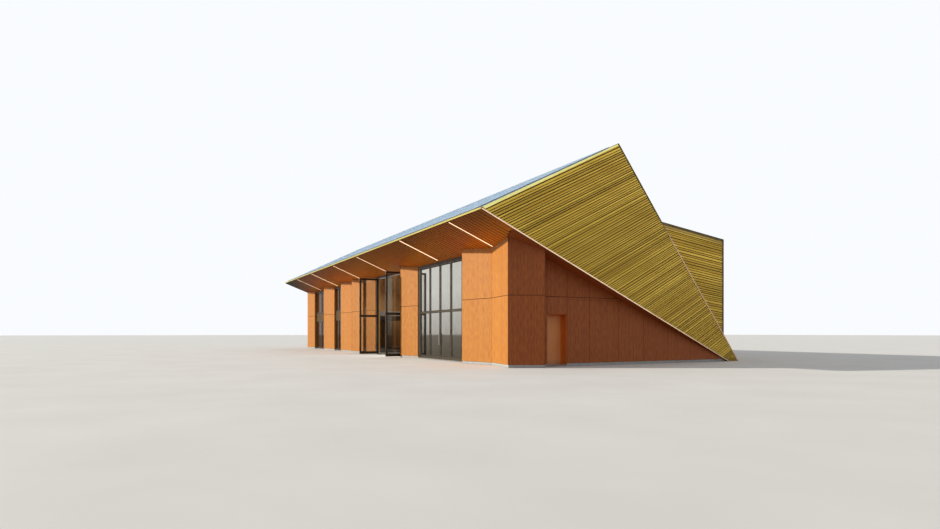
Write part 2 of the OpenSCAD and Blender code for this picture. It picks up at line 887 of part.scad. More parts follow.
// Lever handles on both faces of the side door and the hinge halves that turn with it
module side_door_fittings() {
  back = side_leaf_face + side_leaf_thickness;
  v0 = side_door_start + side_frame + side_clearance + 70;
  h0 = floor_thickness + handle_height;
  color("#b8b8b4")
    set_out() {
      block([side_leaf_face - 50, v0 - 10, h0 - 10], [side_leaf_face, v0 + 10, h0 + 10]);
      block([side_leaf_face - 65, v0 - 10, h0 - 10], [side_leaf_face - 50, v0 + 125, h0 + 10]);
      block([back, v0 - 10, h0 - 10], [back + 50, v0 + 10, h0 + 10]);
      block([back + 50, v0 - 10, h0 - 10], [back + 65, v0 + 125, h0 + 10]);
      for (h = hinge_heights) {
        translate([hinge_u, hinge_v, h + 0.3])
          cylinder(h = hinge_half, r = hinge_radius, $fn = 48);
        block([back, hinge_v - hinge_radius, h + 0.3], [hinge_u, hinge_v, h + 0.3 + hinge_half]);
        block([back, hinge_v - 54, h + 0.3], [back + 4, hinge_v, h + 0.3 + hinge_half]);
      }
    }
}

// Side walls of the rear volume
module annex_side_walls() {
  g = seat_gap;
  meet = annex_meet(annex_roof);
  color("#a58c32")
    set_out()
      both_ends()
        along_front(annex_inset, annex_inset + annex_wall,
          [[rear_foot + g, 0], [annex_end, 0], [annex_end, annex_under(annex_end) - g],
            [meet, annex_under(meet) - g]]);
}

// Left edge of each back window along the front direction
back_pitch = (hall_length - 2 * annex_inset) / back_windows;
function back_u(i) = tenth(annex_inset + (i + 0.5) * back_pitch - back_window_width / 2);

// Foot of the back windows in each storey
back_feet = [floor_thickness + back_window_sill, storey_height + back_window_sill];

// Back wall with two rows of windows
module annex_back_wall() {
  v0 = annex_end - annex_wall;
  color("#a58c32")
    set_out()
      difference() {
        along_front(annex_inset + annex_wall, hall_length - annex_inset - annex_wall,
          [[v0, 0], [annex_end, 0], [annex_end, annex_under(annex_end) - seat_gap],
            [v0, annex_under(v0) - seat_gap]]);
        for (i = [0:back_windows - 1])
          for (h = back_feet)
            block([back_u(i), v0 - 1, h],
              [back_u(i) + back_window_width, annex_end + 1, h + back_window_height]);
      }
}

// Frames of the back windows
module back_window_frames() {
  v0 = annex_end - back_frame_setback - back_frame_depth;
  bar = back_window_bar;
  color("#4b433a")
    set_out()
      for (i = [0:back_windows - 1])
        for (h = back_feet)
          difference() {
            block([back_u(i), v0, h],
              [back_u(i) + back_window_width, v0 + back_frame_depth, h + back_window_height]);
            block([back_u(i) + bar, v0 - 1, h + bar],
              [back_u(i) + back_window_width - bar, v0 + back_frame_depth + 1,
                h + back_window_height - bar]);
          }
}

// Panes of the back windows
module back_window_glass() {
  v0 = annex_end - back_frame_setback - back_frame_depth / 2 - glass_thickness / 2;
  bar = back_window_bar;
  color("#9fb0b4")
    set_out()
      for (i = [0:back_windows - 1])
        for (h = back_feet)
          block([back_u(i) + bar, v0, h + bar],
            [back_u(i) + back_window_width - bar, v0 + glass_thickness,
              h + back_window_height - bar]);
}

// Roof of the rear volume, running up to the steep slope
module annex_roof_slab() {
  a = annex_meet(0);
  b = annex_meet(annex_roof);
  edge = annex_end + annex_drip;
  color("#8b8772")
    set_out()
      along_front(annex_inset, hall_length - annex_inset,
        [[edge, annex_top(edge)], [a, annex_top(a)], [b, annex_under(b)],
          [edge, annex_under(edge)]]);
}

// Dark trims along the outer edges of the rear volume
module annex_edge_trims() {
  a = annex_meet(0) + 60;
  t = annex_trim;
  color("#463c28")
    set_out()
      both_ends()
        along_front(annex_inset - trim_thickness, annex_inset,
          [[annex_end, trim_foot], [annex_end, annex_top(annex_end)], [a, annex_top(a)],
            [a + t / rear_slope, annex_top(a) - t],
            [annex_end - t, annex_top(annex_end) - t + annex_rise * t],
            [annex_end - t, trim_foot]]);
}

hall_floor();
rear_floor();
door_sills();
front_plinths();
side_plinths();
upper_floors();
corner_pier_right();
pier_between_doors();
slim_pier();
folded_pier();
pier_between_windows();
corner_pier_left();
front_head_wall();
vehicle_door_frames();
closed_door_leaves();
open_door_leaves();
vehicle_door_glass();
window_frames();
window_spandrels();
window_glass();
front_soffit();
side_soffits();
light_strips();
front_roof();
eave_fascia();
ridge_cap();
rear_roof_slope();
gable_panel_right();
gable_panel_left();
gable_lower_trims();
gable_verge_bands();
gable_rear_trims();
right_wall_front();
right_wall_over_door();
right_wall_rear();
left_side_wall();
side_door_frame();
side_door_leaf();
side_door_fittings();
annex_side_walls();
annex_back_wall();
back_window_frames();
back_window_glass();
annex_roof_slab();
annex_edge_trims();
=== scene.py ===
import bpy, bmesh, math, random
from mathutils import Matrix, Vector


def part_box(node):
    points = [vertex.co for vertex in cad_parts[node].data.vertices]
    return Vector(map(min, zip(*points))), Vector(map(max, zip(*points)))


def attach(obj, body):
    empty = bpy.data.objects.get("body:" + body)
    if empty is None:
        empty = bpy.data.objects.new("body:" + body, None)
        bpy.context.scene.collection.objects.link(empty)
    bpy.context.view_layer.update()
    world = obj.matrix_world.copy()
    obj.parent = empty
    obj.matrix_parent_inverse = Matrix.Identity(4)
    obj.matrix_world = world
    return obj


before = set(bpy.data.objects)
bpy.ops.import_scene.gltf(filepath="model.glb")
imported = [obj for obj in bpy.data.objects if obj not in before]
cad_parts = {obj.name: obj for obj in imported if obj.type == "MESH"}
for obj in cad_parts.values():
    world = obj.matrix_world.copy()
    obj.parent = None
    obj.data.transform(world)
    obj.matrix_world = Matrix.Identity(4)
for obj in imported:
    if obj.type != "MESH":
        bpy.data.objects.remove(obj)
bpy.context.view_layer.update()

# Floors, sills and plinths
# Slabs are power-floated concrete on the ground. The plinths under the timber walls are pale
# precast kerbs that keep the boards off the wet paving.


def srgb(text):
    """Linear colour of an sRGB hex value."""
    parts = [int(text[i:i + 2], 16) / 255 for i in (1, 3, 5)]
    return tuple(c / 12.92 if c <= 0.04045 else ((c + 0.055) / 1.055) ** 2.4 for c in parts) + (1,)


def add(tree, kind, inputs=(), **settings):
    """Adds a node. Inputs go by name or in order, each a value, hex colour, socket or node's first output."""
    node = tree.nodes.new(kind)
    for key, value in settings.items():
        setattr(node, key, value)
    for key, value in inputs.items() if isinstance(inputs, dict) else enumerate(inputs):
        if isinstance(value, bpy.types.Node):
            value = value.outputs[0]
        if isinstance(value, bpy.types.NodeSocket):
            tree.links.new(value, node.inputs[key])
        else:
            colour = isinstance(value, str) and value.startswith("#")
            node.inputs[key].default_value = srgb(value) if colour else value
    return node


def start_material(name, rough, metallic=0.0):
    """A new material with its shader, and the place on the piece in metres."""
    material = bpy.data.materials.new(name)
    material.use_nodes = True
    tree = material.node_tree
    shader = tree.nodes["Principled BSDF"]
    shader.inputs["Roughness"].default_value = rough
    shader.inputs["Metallic"].default_value = metallic
    return material, tree, shader, add(tree, "ShaderNodeTexCoord").outputs["Object"]


def drift(tree, place, patch, detail=4.0):
    """Noise between 0 and 1 whose patches are as large as patch, in millimetres, each way or all ways."""
    sizes = patch if isinstance(patch, tuple) else (patch,) * 3
    scaled = add(tree, "ShaderNodeMapping", {"Vector": place, "Scale": [1000 / size for size in sizes]})
    noise = add(tree, "ShaderNodeTexNoise", {"Vector": scaled, "Scale": 1.0, "Detail": detail})
    return add(tree, "ShaderNodeMapRange", [noise, 0.28, 0.72])


def layer(tree, tone, share, colour, most=1.0):
    """Lays a colour over a tone where a pattern shows, at the pattern's full share or part of it."""
    if most < 1:
        share = add(tree, "ShaderNodeMath", [share, most], operation="MULTIPLY")
    return add(tree, "ShaderNodeMix", {0: share, 6: tone, 7: colour}, data_type="RGBA").outputs[2]


def finish(tree, shader, tone, height=None, depth=0.0, rough=None, strength=1.0):
    """Gives a shader its colour, a bump in millimetres, and a roughness as (pattern, lowest, highest)."""
    tree.links.new(tone, shader.inputs["Base Color"])
    if rough:
        band = add(tree, "ShaderNodeMapRange", [rough[0], 0.0, 1.0, rough[1], rough[2]])
        tree.links.new(band.outputs[0], shader.inputs["Roughness"])
    if height is not None:
        bump = add(tree, "ShaderNodeBump", {"Height": height, "Distance": depth / 1000, "Strength": strength})
        tree.links.new(bump.outputs[0], shader.inputs["Normal"])


def near_ground(tree, place, low, high, most=1.0):
    """A share that fades from most at one height to nothing at a greater one."""
    height = add(tree, "ShaderNodeSeparateXYZ", [place]).outputs["Z"]
    return add(tree, "ShaderNodeMapRange", [height, low, high, most, 0.0])


def dress(material, *names):
    """Gives CAD nodes their finish."""
    for name in names:
        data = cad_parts[name].data
        data.materials.clear()
        data.materials.append(material)


# Power-floated slab: faint trowel clouds of a metre or so, and a slight sheen
floated_slab, tree, shader, place = start_material("power_floated_concrete", 0.62)
cloud, pits = drift(tree, place, 1400), drift(tree, place, 18, 2.0)
tone = layer(tree, layer(tree, "#8D8B86", cloud, "#A5A29B"), pits, "#6F6C67", 0.12)
finish(tree, shader, tone, pits, 0.6, (cloud, 0.5, 0.72))
dress(floated_slab, "hall_floor", "rear_floor", "door_sills", "upper_floors")

# Precast kerb: fair-faced, pale, darker where splash water reaches it
precast_kerb, tree, shader, place = start_material("precast_concrete", 0.8)
cloud, pits = drift(tree, place, (260, 260, 140)), drift(tree, place, 9, 2.0)
tone = layer(tree, "#C4C4C2", cloud, "#DAD9D6")
finish(tree, shader, layer(tree, tone, near_ground(tree, place, 0, 0.09, 0.55), "#A09D97"), pits, 0.8)
dress(precast_kerb, "front_plinths", "side_plinths")

# Timber walls
# The front piers and the side walls are solid timber, faced with storey-high larch panels on
# battens. Open joints run between the panels, one of them level round the house at 2.97 m.
SET_OUT = (18.15, 6.45)
EAVE_LINE, RIDGE_LINE, REAR_FOOT, UNDER_FOOT = -1.85, 5.3, 13.76, 12.94
EAVE_UNDER, EAVE_TOP, RIDGE_TOP = 6.11, 6.18, 9.74
HALL, DOOR_LINE = 36.3, 0.45
UNDER_SLOPE = EAVE_UNDER / (UNDER_FOOT - EAVE_LINE)
FRONT_SLOPE = (RIDGE_TOP - EAVE_TOP) / (RIDGE_LINE - EAVE_LINE)
REAR_SLOPE = RIDGE_TOP / (REAR_FOOT - RIDGE_LINE)
PANEL_FOOT, PANEL_JOINT, JOINT_GAP, HIGHEST = 0.125, 2.97, 0.02, 99.0
STAND_OFF, PANEL_THICKNESS, LINING = 0.022, 0.018, (-0.0215, -0.0195)


def at(u, v, h=0.0):
    """A place u to the left of the right front corner, v inwards from the front line, h up."""
    return Vector((SET_OUT[0] - u, v - SET_OUT[1], h))


def under(v):
    """Height of the boarded underside of the roof."""
    return UNDER_SLOPE * (UNDER_FOOT - v)


def clip(outline, slope, level):
    """The part of a flat outline that lies under the line h = level + slope * s."""
    kept = []
    for p, q in zip(outline, outline[1:] + outline[:1]):
        f, g = slope * p[0] - p[1] + level, slope * q[0] - q[1] + level
        if f >= 0:
            kept.append(p)
        if (f >= 0) != (g >= 0):
            t = f / (f - g)
            kept.append((p[0] + t * (q[0] - p[0]), p[1] + t * (q[1] - p[1])))
    return kept


def oblong(s0, s1, h0, h1):
    """Corners of an upright oblong."""
    return [(s0, h0), (s1, h0), (s1, h1), (s0, h1)]


def add_plate(shell, origin, along, out, outline, back, front, uv=None, start=0.0):
    """A flat plate: its outline lies in along and up, its thickness from back to front."""
    rings = [[shell.verts.new(origin + along * s + Vector((0, 0, h)) + out * depth) for s, h in outline]
             for depth in (back, front)]
    faces = [shell.faces.new(rings[1]), shell.faces.new(list(reversed(rings[0])))]
    count = len(outline)
    for i in range(count):
        j = (i + 1) % count
        faces.append(shell.faces.new([rings[0][i], rings[0][j], rings[1][j], rings[1][i]]))
    if uv:
        for face in faces:
            for loop in face.loops:
                place = loop.vert.co - origin
                loop[uv].uv = (start + place.dot(along), place.z)


def place_object(name, data):
    """A new object in the scene, at the origin."""
    thing = bpy.data.objects.new(name, data)
    bpy.context.scene.collection.objects.link(thing)
    return thing


def make_piece(name, shell, material, body="building", bevel=0.0):
    """Turns a shell into a piece that rides on its body."""
    bmesh.ops.recalc_face_normals(shell, faces=shell.faces)
    data = bpy.data.meshes.new(name)
    shell.to_mesh(data)
    shell.free()
    data.materials.append(material)
    piece = place_object(name, data)
    if bevel:
        edge = piece.modifiers.new("eased_edges", "BEVEL")
        edge.width, edge.segments, edge.limit_method = bevel, 1, "ANGLE"
    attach(piece, body)


def joint_half(level):
    """Half the gap of a level joint: open at the storey line, fine elsewhere, none at the ends."""
    if level in (PANEL_FOOT, DOOR_PANEL_FOOT, HIGHEST):
        return 0
    return JOINT_GAP / 2 if level == PANEL_JOINT else JOINT_GAP / 5


def face_wall(panels, lining, uv, plan, drop, joints=(), foot=PANEL_FOOT, extra=()):
    """Panels and dark lining along a plan line of (u, v), seen from its right-hand side."""
    flat = [at(u, v) for u, v in plan]
    run = [(q - p).normalized() for p, q in zip(flat, flat[1:])]
    out = [Vector((d.y, -d.x, 0)) for d in run]
    front, start = [], 0.0
    for i, p in enumerate(flat):
        near = [out[k] for k in (i - 1, i) if 0 <= k < len(out)]
        mean = sum(near, Vector()).normalized()
        front.append(p + mean * STAND_OFF / max(mean.dot(near[0]), 0.5))
    for a, b in zip(front, front[1:]):
        along, length = (b - a).normalized(), (b - a).length
        normal = Vector((along.y, -along.x, 0))
        tops = [under(p.y + SET_OUT[1]) - drop for p in (a, b)]
        slope = (tops[1] - tops[0]) / length
        cuts = sorted(j - start for j in joints if 0.05 < j - start < length - 0.05)
        cuts = [0.006] + cuts + [length - 0.006]
        levels = sorted(level for level in (foot, PANEL_JOINT, *extra, HIGHEST) if level >= foot)
        for s0, s1 in zip(cuts, cuts[1:]):
            s0 += JOINT_GAP / 2.5 if s0 > 0.01 else 0
            s1 -= JOINT_GAP / 2.5 if s1 < length - 0.01 else 0
            for h0, h1 in zip(levels, levels[1:]):
                outline = clip(oblong(s0, s1, h0 + joint_half(h0), h1 - joint_half(h1)), slope, tops[0])
                if len(outline) > 2:
                    add_plate(panels, a, along, normal, outline, -PANEL_THICKNESS, 0, uv, start)
        backing = clip(oblong(0, length, foot, HIGHEST), slope, tops[0])
        if len(backing) > 2:
            add_plate(lining, a, along, normal, backing, *LINING)
        start += length


def larch(name, light, dark, deep):
    """Oiled larch boards: warm orange, vertical V joints, fine grain; satin, no lacquer shine."""
    material, tree, shader, _ = start_material(name, 0.55)
    place = add(tree, "ShaderNodeUVMap", uv_map="boards").outputs[0]
    across = add(tree, "ShaderNodeSeparateXYZ", [place]).outputs["X"]
    count = add(tree, "ShaderNodeMath", [across, BOARD_FACE], operation="DIVIDE")
    whole = add(tree, "ShaderNodeMath", [count], operation="FLOOR")
    own = add(tree, "ShaderNodeTexWhiteNoise", {"W": whole}, noise_dimensions="1D")
    grain = drift(tree, place, (9, 420, 9), 5.0)
    streak = drift(tree, place, (55, 330, 55), 3.0)
    cloud = drift(tree, place, (900, 1500, 900), 2.0)
    share = add(tree, "ShaderNodeMath", [own, 0.35, streak], operation="MULTIPLY_ADD")
    share = add(tree, "ShaderNodeMath", [share, 0.75], operation="MULTIPLY", use_clamp=True)
    tone = layer(tree, layer(tree, light, share, dark), grain, deep, 0.38)
    part = add(tree, "ShaderNodeMath", [count], operation="FRACT")
    ridge = add(tree, "ShaderNodeMath", [part, 0.5], operation="SUBTRACT")
    edge = add(tree, "ShaderNodeMath", [ridge], operation="ABSOLUTE")
    groove = add(tree, "ShaderNodeMapRange", [edge, 0.43, 0.5])
    tone = layer(tree, layer(tree, tone, cloud, dark, 0.22), groove, deep, 0.45)
    height = add(tree, "ShaderNodeMath", [grain, 0.12], operation="MULTIPLY")
    height = add(tree, "ShaderNodeMath", [height, groove], operation="SUBTRACT")
    finish(tree, shader, tone, height, 4.0, (grain, 0.48, 0.66))
    return material


# Breather membrane: matt black fleece, only seen in the open joints
membrane, tree, shader, place = start_material("breather_membrane", 0.95)
fleece = drift(tree, place, 6, 2.0)
finish(tree, shader, layer(tree, "#1C110A", fleece, "#2A1910"), fleece, 0.4)

# Plan lines from left to right as seen from outside, the panel heads a shadow gap under the roof
BOARD_FACE, DOOR_PANEL_FOOT, WALL_DROP, PIER_DROP, DOOR_HEAD_JOINT = 0.06, 2.245, 0.004, 0.034, 2.86
RIGHT_JOINTS = (0.06, 1.23, 2.85, 4.35, 5.88, 7.38, 8.88)
LEFT_JOINTS = (0.5, 2.0, 3.5, 5.03, 6.53, 8.15, 9.33)
CORNER_BACK, SIDE_FOOT, DOOR_SIDES, WING = 1.32, 12.3, (1.9, 2.92), 0.66
FACINGS = {
    "front": (larch("oiled_larch_front", "#FFB046", "#D07A22", "#8A4815"), [
        ([(4.75, DOOR_LINE), (4.13, DOOR_LINE), (4.13, 0), (2.09, 0.43), (0, 0)], WALL_DROP, {}),
        ([(18.85, DOOR_LINE), (18.85, 0.1), (17.95, DOOR_LINE)], PIER_DROP, {}),
        ([(12.13, DOOR_LINE), (12.13, 0), (10.57, DOOR_LINE)], PIER_DROP, {}),
        ([(24.86, DOOR_LINE), (24.86, 0), (21.965, 0.436)], PIER_DROP, {}),
        ([(21.94, 0.44), (21.94, 0), (20.55, 0.4), (20.55, DOOR_LINE)], PIER_DROP, {}),
        ([(30.12, DOOR_LINE), (30.12, 0), (28.11, 0.35), (28.11, DOOR_LINE)], PIER_DROP, {}),
        ([(HALL, 0), (34.75, 0.3), (34.75, DOOR_LINE)], PIER_DROP, {})]),
    # Side walls: a darker copy of the front larch, painted shade of the shaded right side wall
    "side": (larch("oiled_larch_side_painted_shade", "#E07C32", "#AA521C", "#6E320F"), [
        ([(0, 0), (-WING, CORNER_BACK), (0, CORNER_BACK)], WALL_DROP, {}),
        ([(0, CORNER_BACK + 0.03), (0, DOOR_SIDES[0])], WALL_DROP, {}),
        ([(0, DOOR_SIDES[0]), (0, DOOR_SIDES[1])], WALL_DROP, {"foot": DOOR_PANEL_FOOT}),
        ([(0, DOOR_SIDES[1]), (0, SIDE_FOOT)], WALL_DROP,
         {"joints": RIGHT_JOINTS, "extra": (DOOR_HEAD_JOINT,)}),
        ([(HALL, SIDE_FOOT), (HALL, CORNER_BACK + 0.03)], WALL_DROP,
         {"joints": LEFT_JOINTS, "extra": (DOOR_HEAD_JOINT,)}),
        ([(HALL, CORNER_BACK), (HALL + WING, CORNER_BACK), (HALL, 0)], WALL_DROP, {})])}
for label, (boards, plans) in FACINGS.items():
    panels, lining = bmesh.new(), bmesh.new()
    grain_map = panels.loops.layers.uv.new("boards")
    for plan, drop, settings in plans:
        face_wall(panels, lining, grain_map, plan, drop, **settings)
    make_piece(label + "_timber_panels", panels, boards, bevel=0.002)
    make_piece(label + "_panel_lining", lining, membrane)

# Solid timber behind the panels: pale spruce boards, seen from inside the hall
spruce_wall, tree, shader, place = start_material("spruce_solid_timber", 0.6)
fibre = drift(tree, place, (30, 30, 700), 5.0)
finish(tree, shader, layer(tree, "#B98A58", fibre, "#D2A877"), fibre, 0.5)
dress(spruce_wall, "corner_pier_right", "pier_between_doors", "slim_pier", "folded_pier",
      "pier_between_windows", "corner_pier_left", "right_wall_front", "right_wall_over_door",
      "right_wall_rear", "left_side_wall")

# Head wall
# The strip of wall between the opening heads and the roof is faced with slate-grey fibre cement
# sheets, screwed to the rails behind the door line.
def seam_lines(tree, place, axis, pitch, half):
    """Seams every pitch metres along an axis, each twice half wide."""
    across = add(tree, "ShaderNodeSeparateXYZ", [place]).outputs[axis]
    part = add(tree, "ShaderNodeMath", [across, pitch / 2], operation="PINGPONG")
    return add(tree, "ShaderNodeMath", [part, half], operation="LESS_THAN")


head_sheets, tree, shader, place = start_material("fibre_cement_sheet", 0.7)
tone = layer(tree, "#40484A", drift(tree, place, (350, 350, 200)), "#515A5B")
tone = layer(tree, tone, seam_lines(tree, place, "X", 2.5, 0.006), "#1D2021")
finish(tree, shader, tone, drift(tree, place, 5, 2.0), 0.3)
dress(head_sheets, "front_head_wall")

# Vehicle doors
# Each doorway has four glazed leaves of bronze anodised aluminium, hinged in pairs so that they
# fold. The right door is shut, the leaves of the left one stand folded out beside its jambs.
RIGHT, INWARD, FRONT = Vector((1, 0, 0)), Vector((0, 1, 0)), Vector((0, -1, 0))
OPENING_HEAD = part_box("vehicle_door_frames")[1].z
LEAF_HEAD = OPENING_HEAD - 0.05
LEAF, LEAF_PITCH, STILE, LEAF_THICKNESS = 1.29, 1.3, 0.075, 0.06
CLOSED_START, OPEN_START, DOORWAY, JAMB = 4.75, 12.13, 5.82, 0.31
PANE_ROWS = ((0.2, 2.51), (2.61, LEAF_HEAD - 0.08))
LEAF_LINE, FOLDED_LINE = DOOR_LINE + 0.02, -0.79
OVERLAP, GASKET_WIDTH, GASKET_BACK = 0.004, 0.022, -0.018


def add_ring(shell, origin, along, out, s0, s1, h0, h1, bar, back, front):
    """A mitred rectangular ring of bars, inwards from the given outline."""
    rows = []
    for depth in (back, front):
        for b in (0, bar):
            rows.append([shell.verts.new(origin + along * s + Vector((0, 0, h)) + out * depth)
                         for s, h in oblong(s0 + b, s1 - b, h0 + b, h1 - b)])
    for i in range(4):
        j = (i + 1) % 4
        for p, q in ((2, 3), (1, 0), (0, 2), (3, 1)):
            shell.faces.new([rows[p][i], rows[p][j], rows[q][j], rows[q][i]])


# EPDM rubber: black, dull, slightly chalky
rubber, tree, shader, place = start_material("epdm_rubber", 0.75)
chalk = drift(tree, place, 40)
finish(tree, shader, layer(tree, "#1B1A19", chalk, "#2C2A28"), chalk, 0.2)

gaskets = bmesh.new()
folded_leaves = [OPEN_START + JAMB + k for k in (0.01, 0.08)]
folded_leaves += [OPEN_START + DOORWAY - JAMB - k for k in (0.06, 0.13)]
leaves = [(at(CLOSED_START + JAMB + i * LEAF_PITCH + 0.005 + LEAF, LEAF_LINE), RIGHT, FRONT, 0.003)
          for i in range(4)]
leaves += [(at(u, FOLDED_LINE), INWARD, RIGHT, 0.002) for u in folded_leaves]
for origin, along, out, proud in leaves:
    for corner, side in ((origin, out), (origin - out * LEAF_THICKNESS, -out)):
        for low, high in PANE_ROWS:
            add_ring(gaskets, corner, along, side, STILE - OVERLAP, LEAF - STILE + OVERLAP,
                     low - OVERLAP, high + OVERLAP, GASKET_WIDTH, GASKET_BACK, proud)
make_piece("vehicle_door_gaskets", gaskets, rubber)


def anodised(name, light, dark, rough=0.42, metal=0.55):
    """Anodised aluminium: satin metal with faint lengthwise die lines and finger-dulled patches."""
    material, tree, shader, place = start_material(name, rough, metal)
    lines, cloud = drift(tree, place, (4, 4, 900), 2.0), drift(tree, place, (320, 320, 700))
    share = add(tree, "ShaderNodeMath", [lines, 0.35, cloud], operation="MULTIPLY_ADD")
    share = add(tree, "ShaderNodeMath", [share, 0.7], operation="MULTIPLY", use_clamp=True)
    finish(tree, shader, layer(tree, light, share, dark), lines, 0.08, (cloud, rough - 0.06, rough + 0.1))
    return material


# Leaves of the shut door are a mid bronze, everything else is a darker one
mid_bronze = anodised("mid_bronze_anodised_aluminium", "#5E543F", "#4B4231")
dark_bronze = anodised("dark_bronze_anodised_aluminium", "#54442F", "#403221")
dress(mid_bronze, "closed_door_leaves")
dress(dark_bronze, "open_door_leaves", "vehicle_door_frames", "window_frames", "back_window_frames")


def coated_glass(name, light, dark, shut, rim, metal):
    """Insulating glass with a thin metal oxide coat: clear square on, a mirror at a low angle."""
    material, tree, shader, place = start_material(name, 0.03, metal)
    shader.inputs["Specular Tint"].default_value = srgb(rim)
    wave, dust = drift(tree, place, (700, 700, 160), 1.0), drift(tree, place, 500, 3.0)
    splash = near_ground(tree, place, 0.4, 3.6, 0.75)
    share = add(tree, "ShaderNodeMath", [dust, 0.1, splash], operation="MULTIPLY_ADD", use_clamp=True)
    finish(tree, shader, layer(tree, light, share, dark), wave, 0.5, (dust, 0.015, 0.05), 0.1)
    slant = add(tree, "ShaderNodeLayerWeight", {"Blend": 0.5}).outputs["Facing"]
    cover = add(tree, "ShaderNodeMapRange", [slant, 0.12, 0.6, 0.1, shut])
    tree.links.new(cover.outputs[0], shader.inputs["Alpha"])
    return material


dress(coated_glass("neutral_insulating_glass", "#CFCDC2", "#7D7263", 0.96, "#FFFFFF", 0.95),
      "vehicle_door_glass")
# Window glass: brown partly from its bronze tint and partly a painted reflection of the orange soffit and
# piers
dress(coated_glass("bronze_insulating_glass", "#764E2E", "#5C3E26", 0.94, "#6B4A2C", 0.45),
      "window_glass", "back_window_glass")

# Satin stainless steel for pulls, handles and the track
stainless, tree, shader, place = start_material("satin_stainless_steel", 0.34, 1.0)
brushed = drift(tree, place, (2, 2, 90), 2.0)
finish(tree, shader, layer(tree, "#A9A8A4", brushed, "#C4C3BF"), rough=(brushed, 0.28, 0.42))


def laid_on_points(name, sockets, shape):
    """A tree that lays a shape on points: each point brings its size, the tree the rest."""
    group = bpy.data.node_groups.new(name, "GeometryNodeTree")
    for label, kind in (("Geometry", "Geometry"), *sockets, ("Material", "Material")):
        group.interface.new_socket(label, in_out="INPUT", socket_type="NodeSocket" + kind)
    group.interface.new_socket("Geometry", in_out="OUTPUT", socket_type="NodeSocketGeometry")
    start, end = add(group, "NodeGroupInput").outputs, add(group, "NodeGroupOutput")
    size = add(group, "GeometryNodeInputNamedAttribute", {"Name": "size"}, data_type="FLOAT_VECTOR")
    inputs = {"Points": start["Geometry"], "Instance": shape(group, start), "Scale": size}
    if "Direction" in start:
        inputs["Rotation"] = add(group, "FunctionNodeEulerToRotation", [start["Direction"]])
    put = add(group, "GeometryNodeInstanceOnPoints", inputs)
    real = add(group, "GeometryNodeRealizeInstances", [put])
    done = add(group, "GeometryNodeSetMaterial", {"Geometry": real, "Material": start["Material"]})
    group.links.new(done.outputs[0], end.inputs[0])
    return group


def barrel(group, start):
    """An upright barrel, drawn in at its ring joints."""
    place, rings = add(group, "GeometryNodeInputPosition"), start["Ring Count"]
    tube = add(group, "GeometryNodeMeshCylinder",
               {"Vertices": start["Sides"], "Side Segments": rings, "Radius": 1.0, "Depth": 1.0})
    height = add(group, "ShaderNodeSeparateXYZ", [place]).outputs["Z"]
    ring = add(group, "ShaderNodeMath", [height, rings], operation="MULTIPLY")
    waist = add(group, "ShaderNodeMath", [ring, 0.5], operation="PINGPONG")
    girth = add(group, "ShaderNodeMath", [waist, 0.16, 0.92], operation="MULTIPLY_ADD")
    spread = add(group, "ShaderNodeCombineXYZ", [girth, girth, 1.0])
    shaped = add(group, "ShaderNodeVectorMath", [place, spread], operation="MULTIPLY")
    return add(group, "GeometryNodeSetPosition", {"Geometry": tube, "Position": shaped})


def grow(name, group, points, settings):
    """Runs a tree on points of (place, size, tone) and keeps the result as a plain mesh."""
    seeds = bpy.data.meshes.new(name + "_points")
    seeds.from_pydata([p for p, _, _ in points], [], [])
    sizes = [c for _, size, _ in points for c in size]
    seeds.attributes.new("size", "FLOAT_VECTOR", "POINT").data.foreach_set("vector", sizes)
    seeds.attributes.new("tone", "FLOAT", "POINT").data.foreach_set("value", [t for _, _, t in points])
    piece = place_object(name, seeds)
    maker = piece.modifiers.new("maker", "NODES")
    maker.node_group = group
    for socket in group.interface.items_tree:
        if socket.in_out == "INPUT" and socket.name in settings:
            maker[socket.identifier] = settings[socket.name]
    bpy.context.view_layer.update()
    mesh = bpy.data.meshes.new_from_object(piece.evaluated_get(bpy.context.evaluated_depsgraph_get()))
    piece.modifiers.clear()
    piece.data = mesh
    mesh.name = name
    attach(piece, "building")


HINGE_HEIGHTS, HINGE_SIZE = (0.4, 1.5, 2.56, 3.7, 4.75), (0.013, 0.013, 0.16)
hinge_lines = [(CLOSED_START + JAMB + i * LEAF_PITCH, DOOR_LINE + 0.012) for i in range(5)]
hinge_lines += [(u, FOLDED_LINE - 0.012) for u in (folded_leaves[0] + 0.065, folded_leaves[2] - 0.005)]
hinges = [(at(u, v, h), HINGE_SIZE, 0.5) for u, v in hinge_lines for h in HINGE_HEIGHTS]
barrels = laid_on_points("hinge_barrels", (("Sides", "Int"), ("Ring Count", "Int")), barrel)
grow("vehicle_door_hinges", barrels, hinges, {"Sides": 14, "Ring Count": 3, "Material": mid_bronze})

# Pull bars beside the middle joint of the shut door, each on two short posts
PULL_RADIUS, PULL_REACH, POST = 0.014, 0.06, 0.06
QUARTER = math.radians(90)
pulls, middle = bmesh.new(), CLOSED_START + JAMB + 2 * LEAF_PITCH
for u in (middle - 0.045, middle + 0.045):
    for h, length, reach, turn in ((1.1, 0.62, PULL_REACH, 0), (0.86, POST, PULL_REACH / 2, QUARTER),
                                   (1.34, POST, PULL_REACH / 2, QUARTER)):
        spot = Matrix.Translation(at(u, LEAF_LINE - reach, h)) @ Matrix.Rotation(turn, 4, "X")
        bmesh.ops.create_cone(pulls, cap_ends=True, segments=16, radius1=PULL_RADIUS, radius2=PULL_RADIUS,
                              depth=length, matrix=spot)
make_piece("vehicle_door_pulls", pulls, stainless)

# Running track of the folding doors, under the frame heads, seen where the doorway stands open
track, origin = bmesh.new(), at(OPEN_START + DOORWAY - JAMB - 0.15, DOOR_LINE, LEAF_HEAD)
for low, high, near, far in ((-0.004, 0.0, 0.03, 0.075), (-0.045, -0.004, 0.03, 0.035),
                             (-0.045, -0.004, 0.07, 0.075)):
    add_plate(track, origin, RIGHT, INWARD, oblong(0, 4.9, low, high), near, far)
make_piece("folding_door_track", track, stainless)

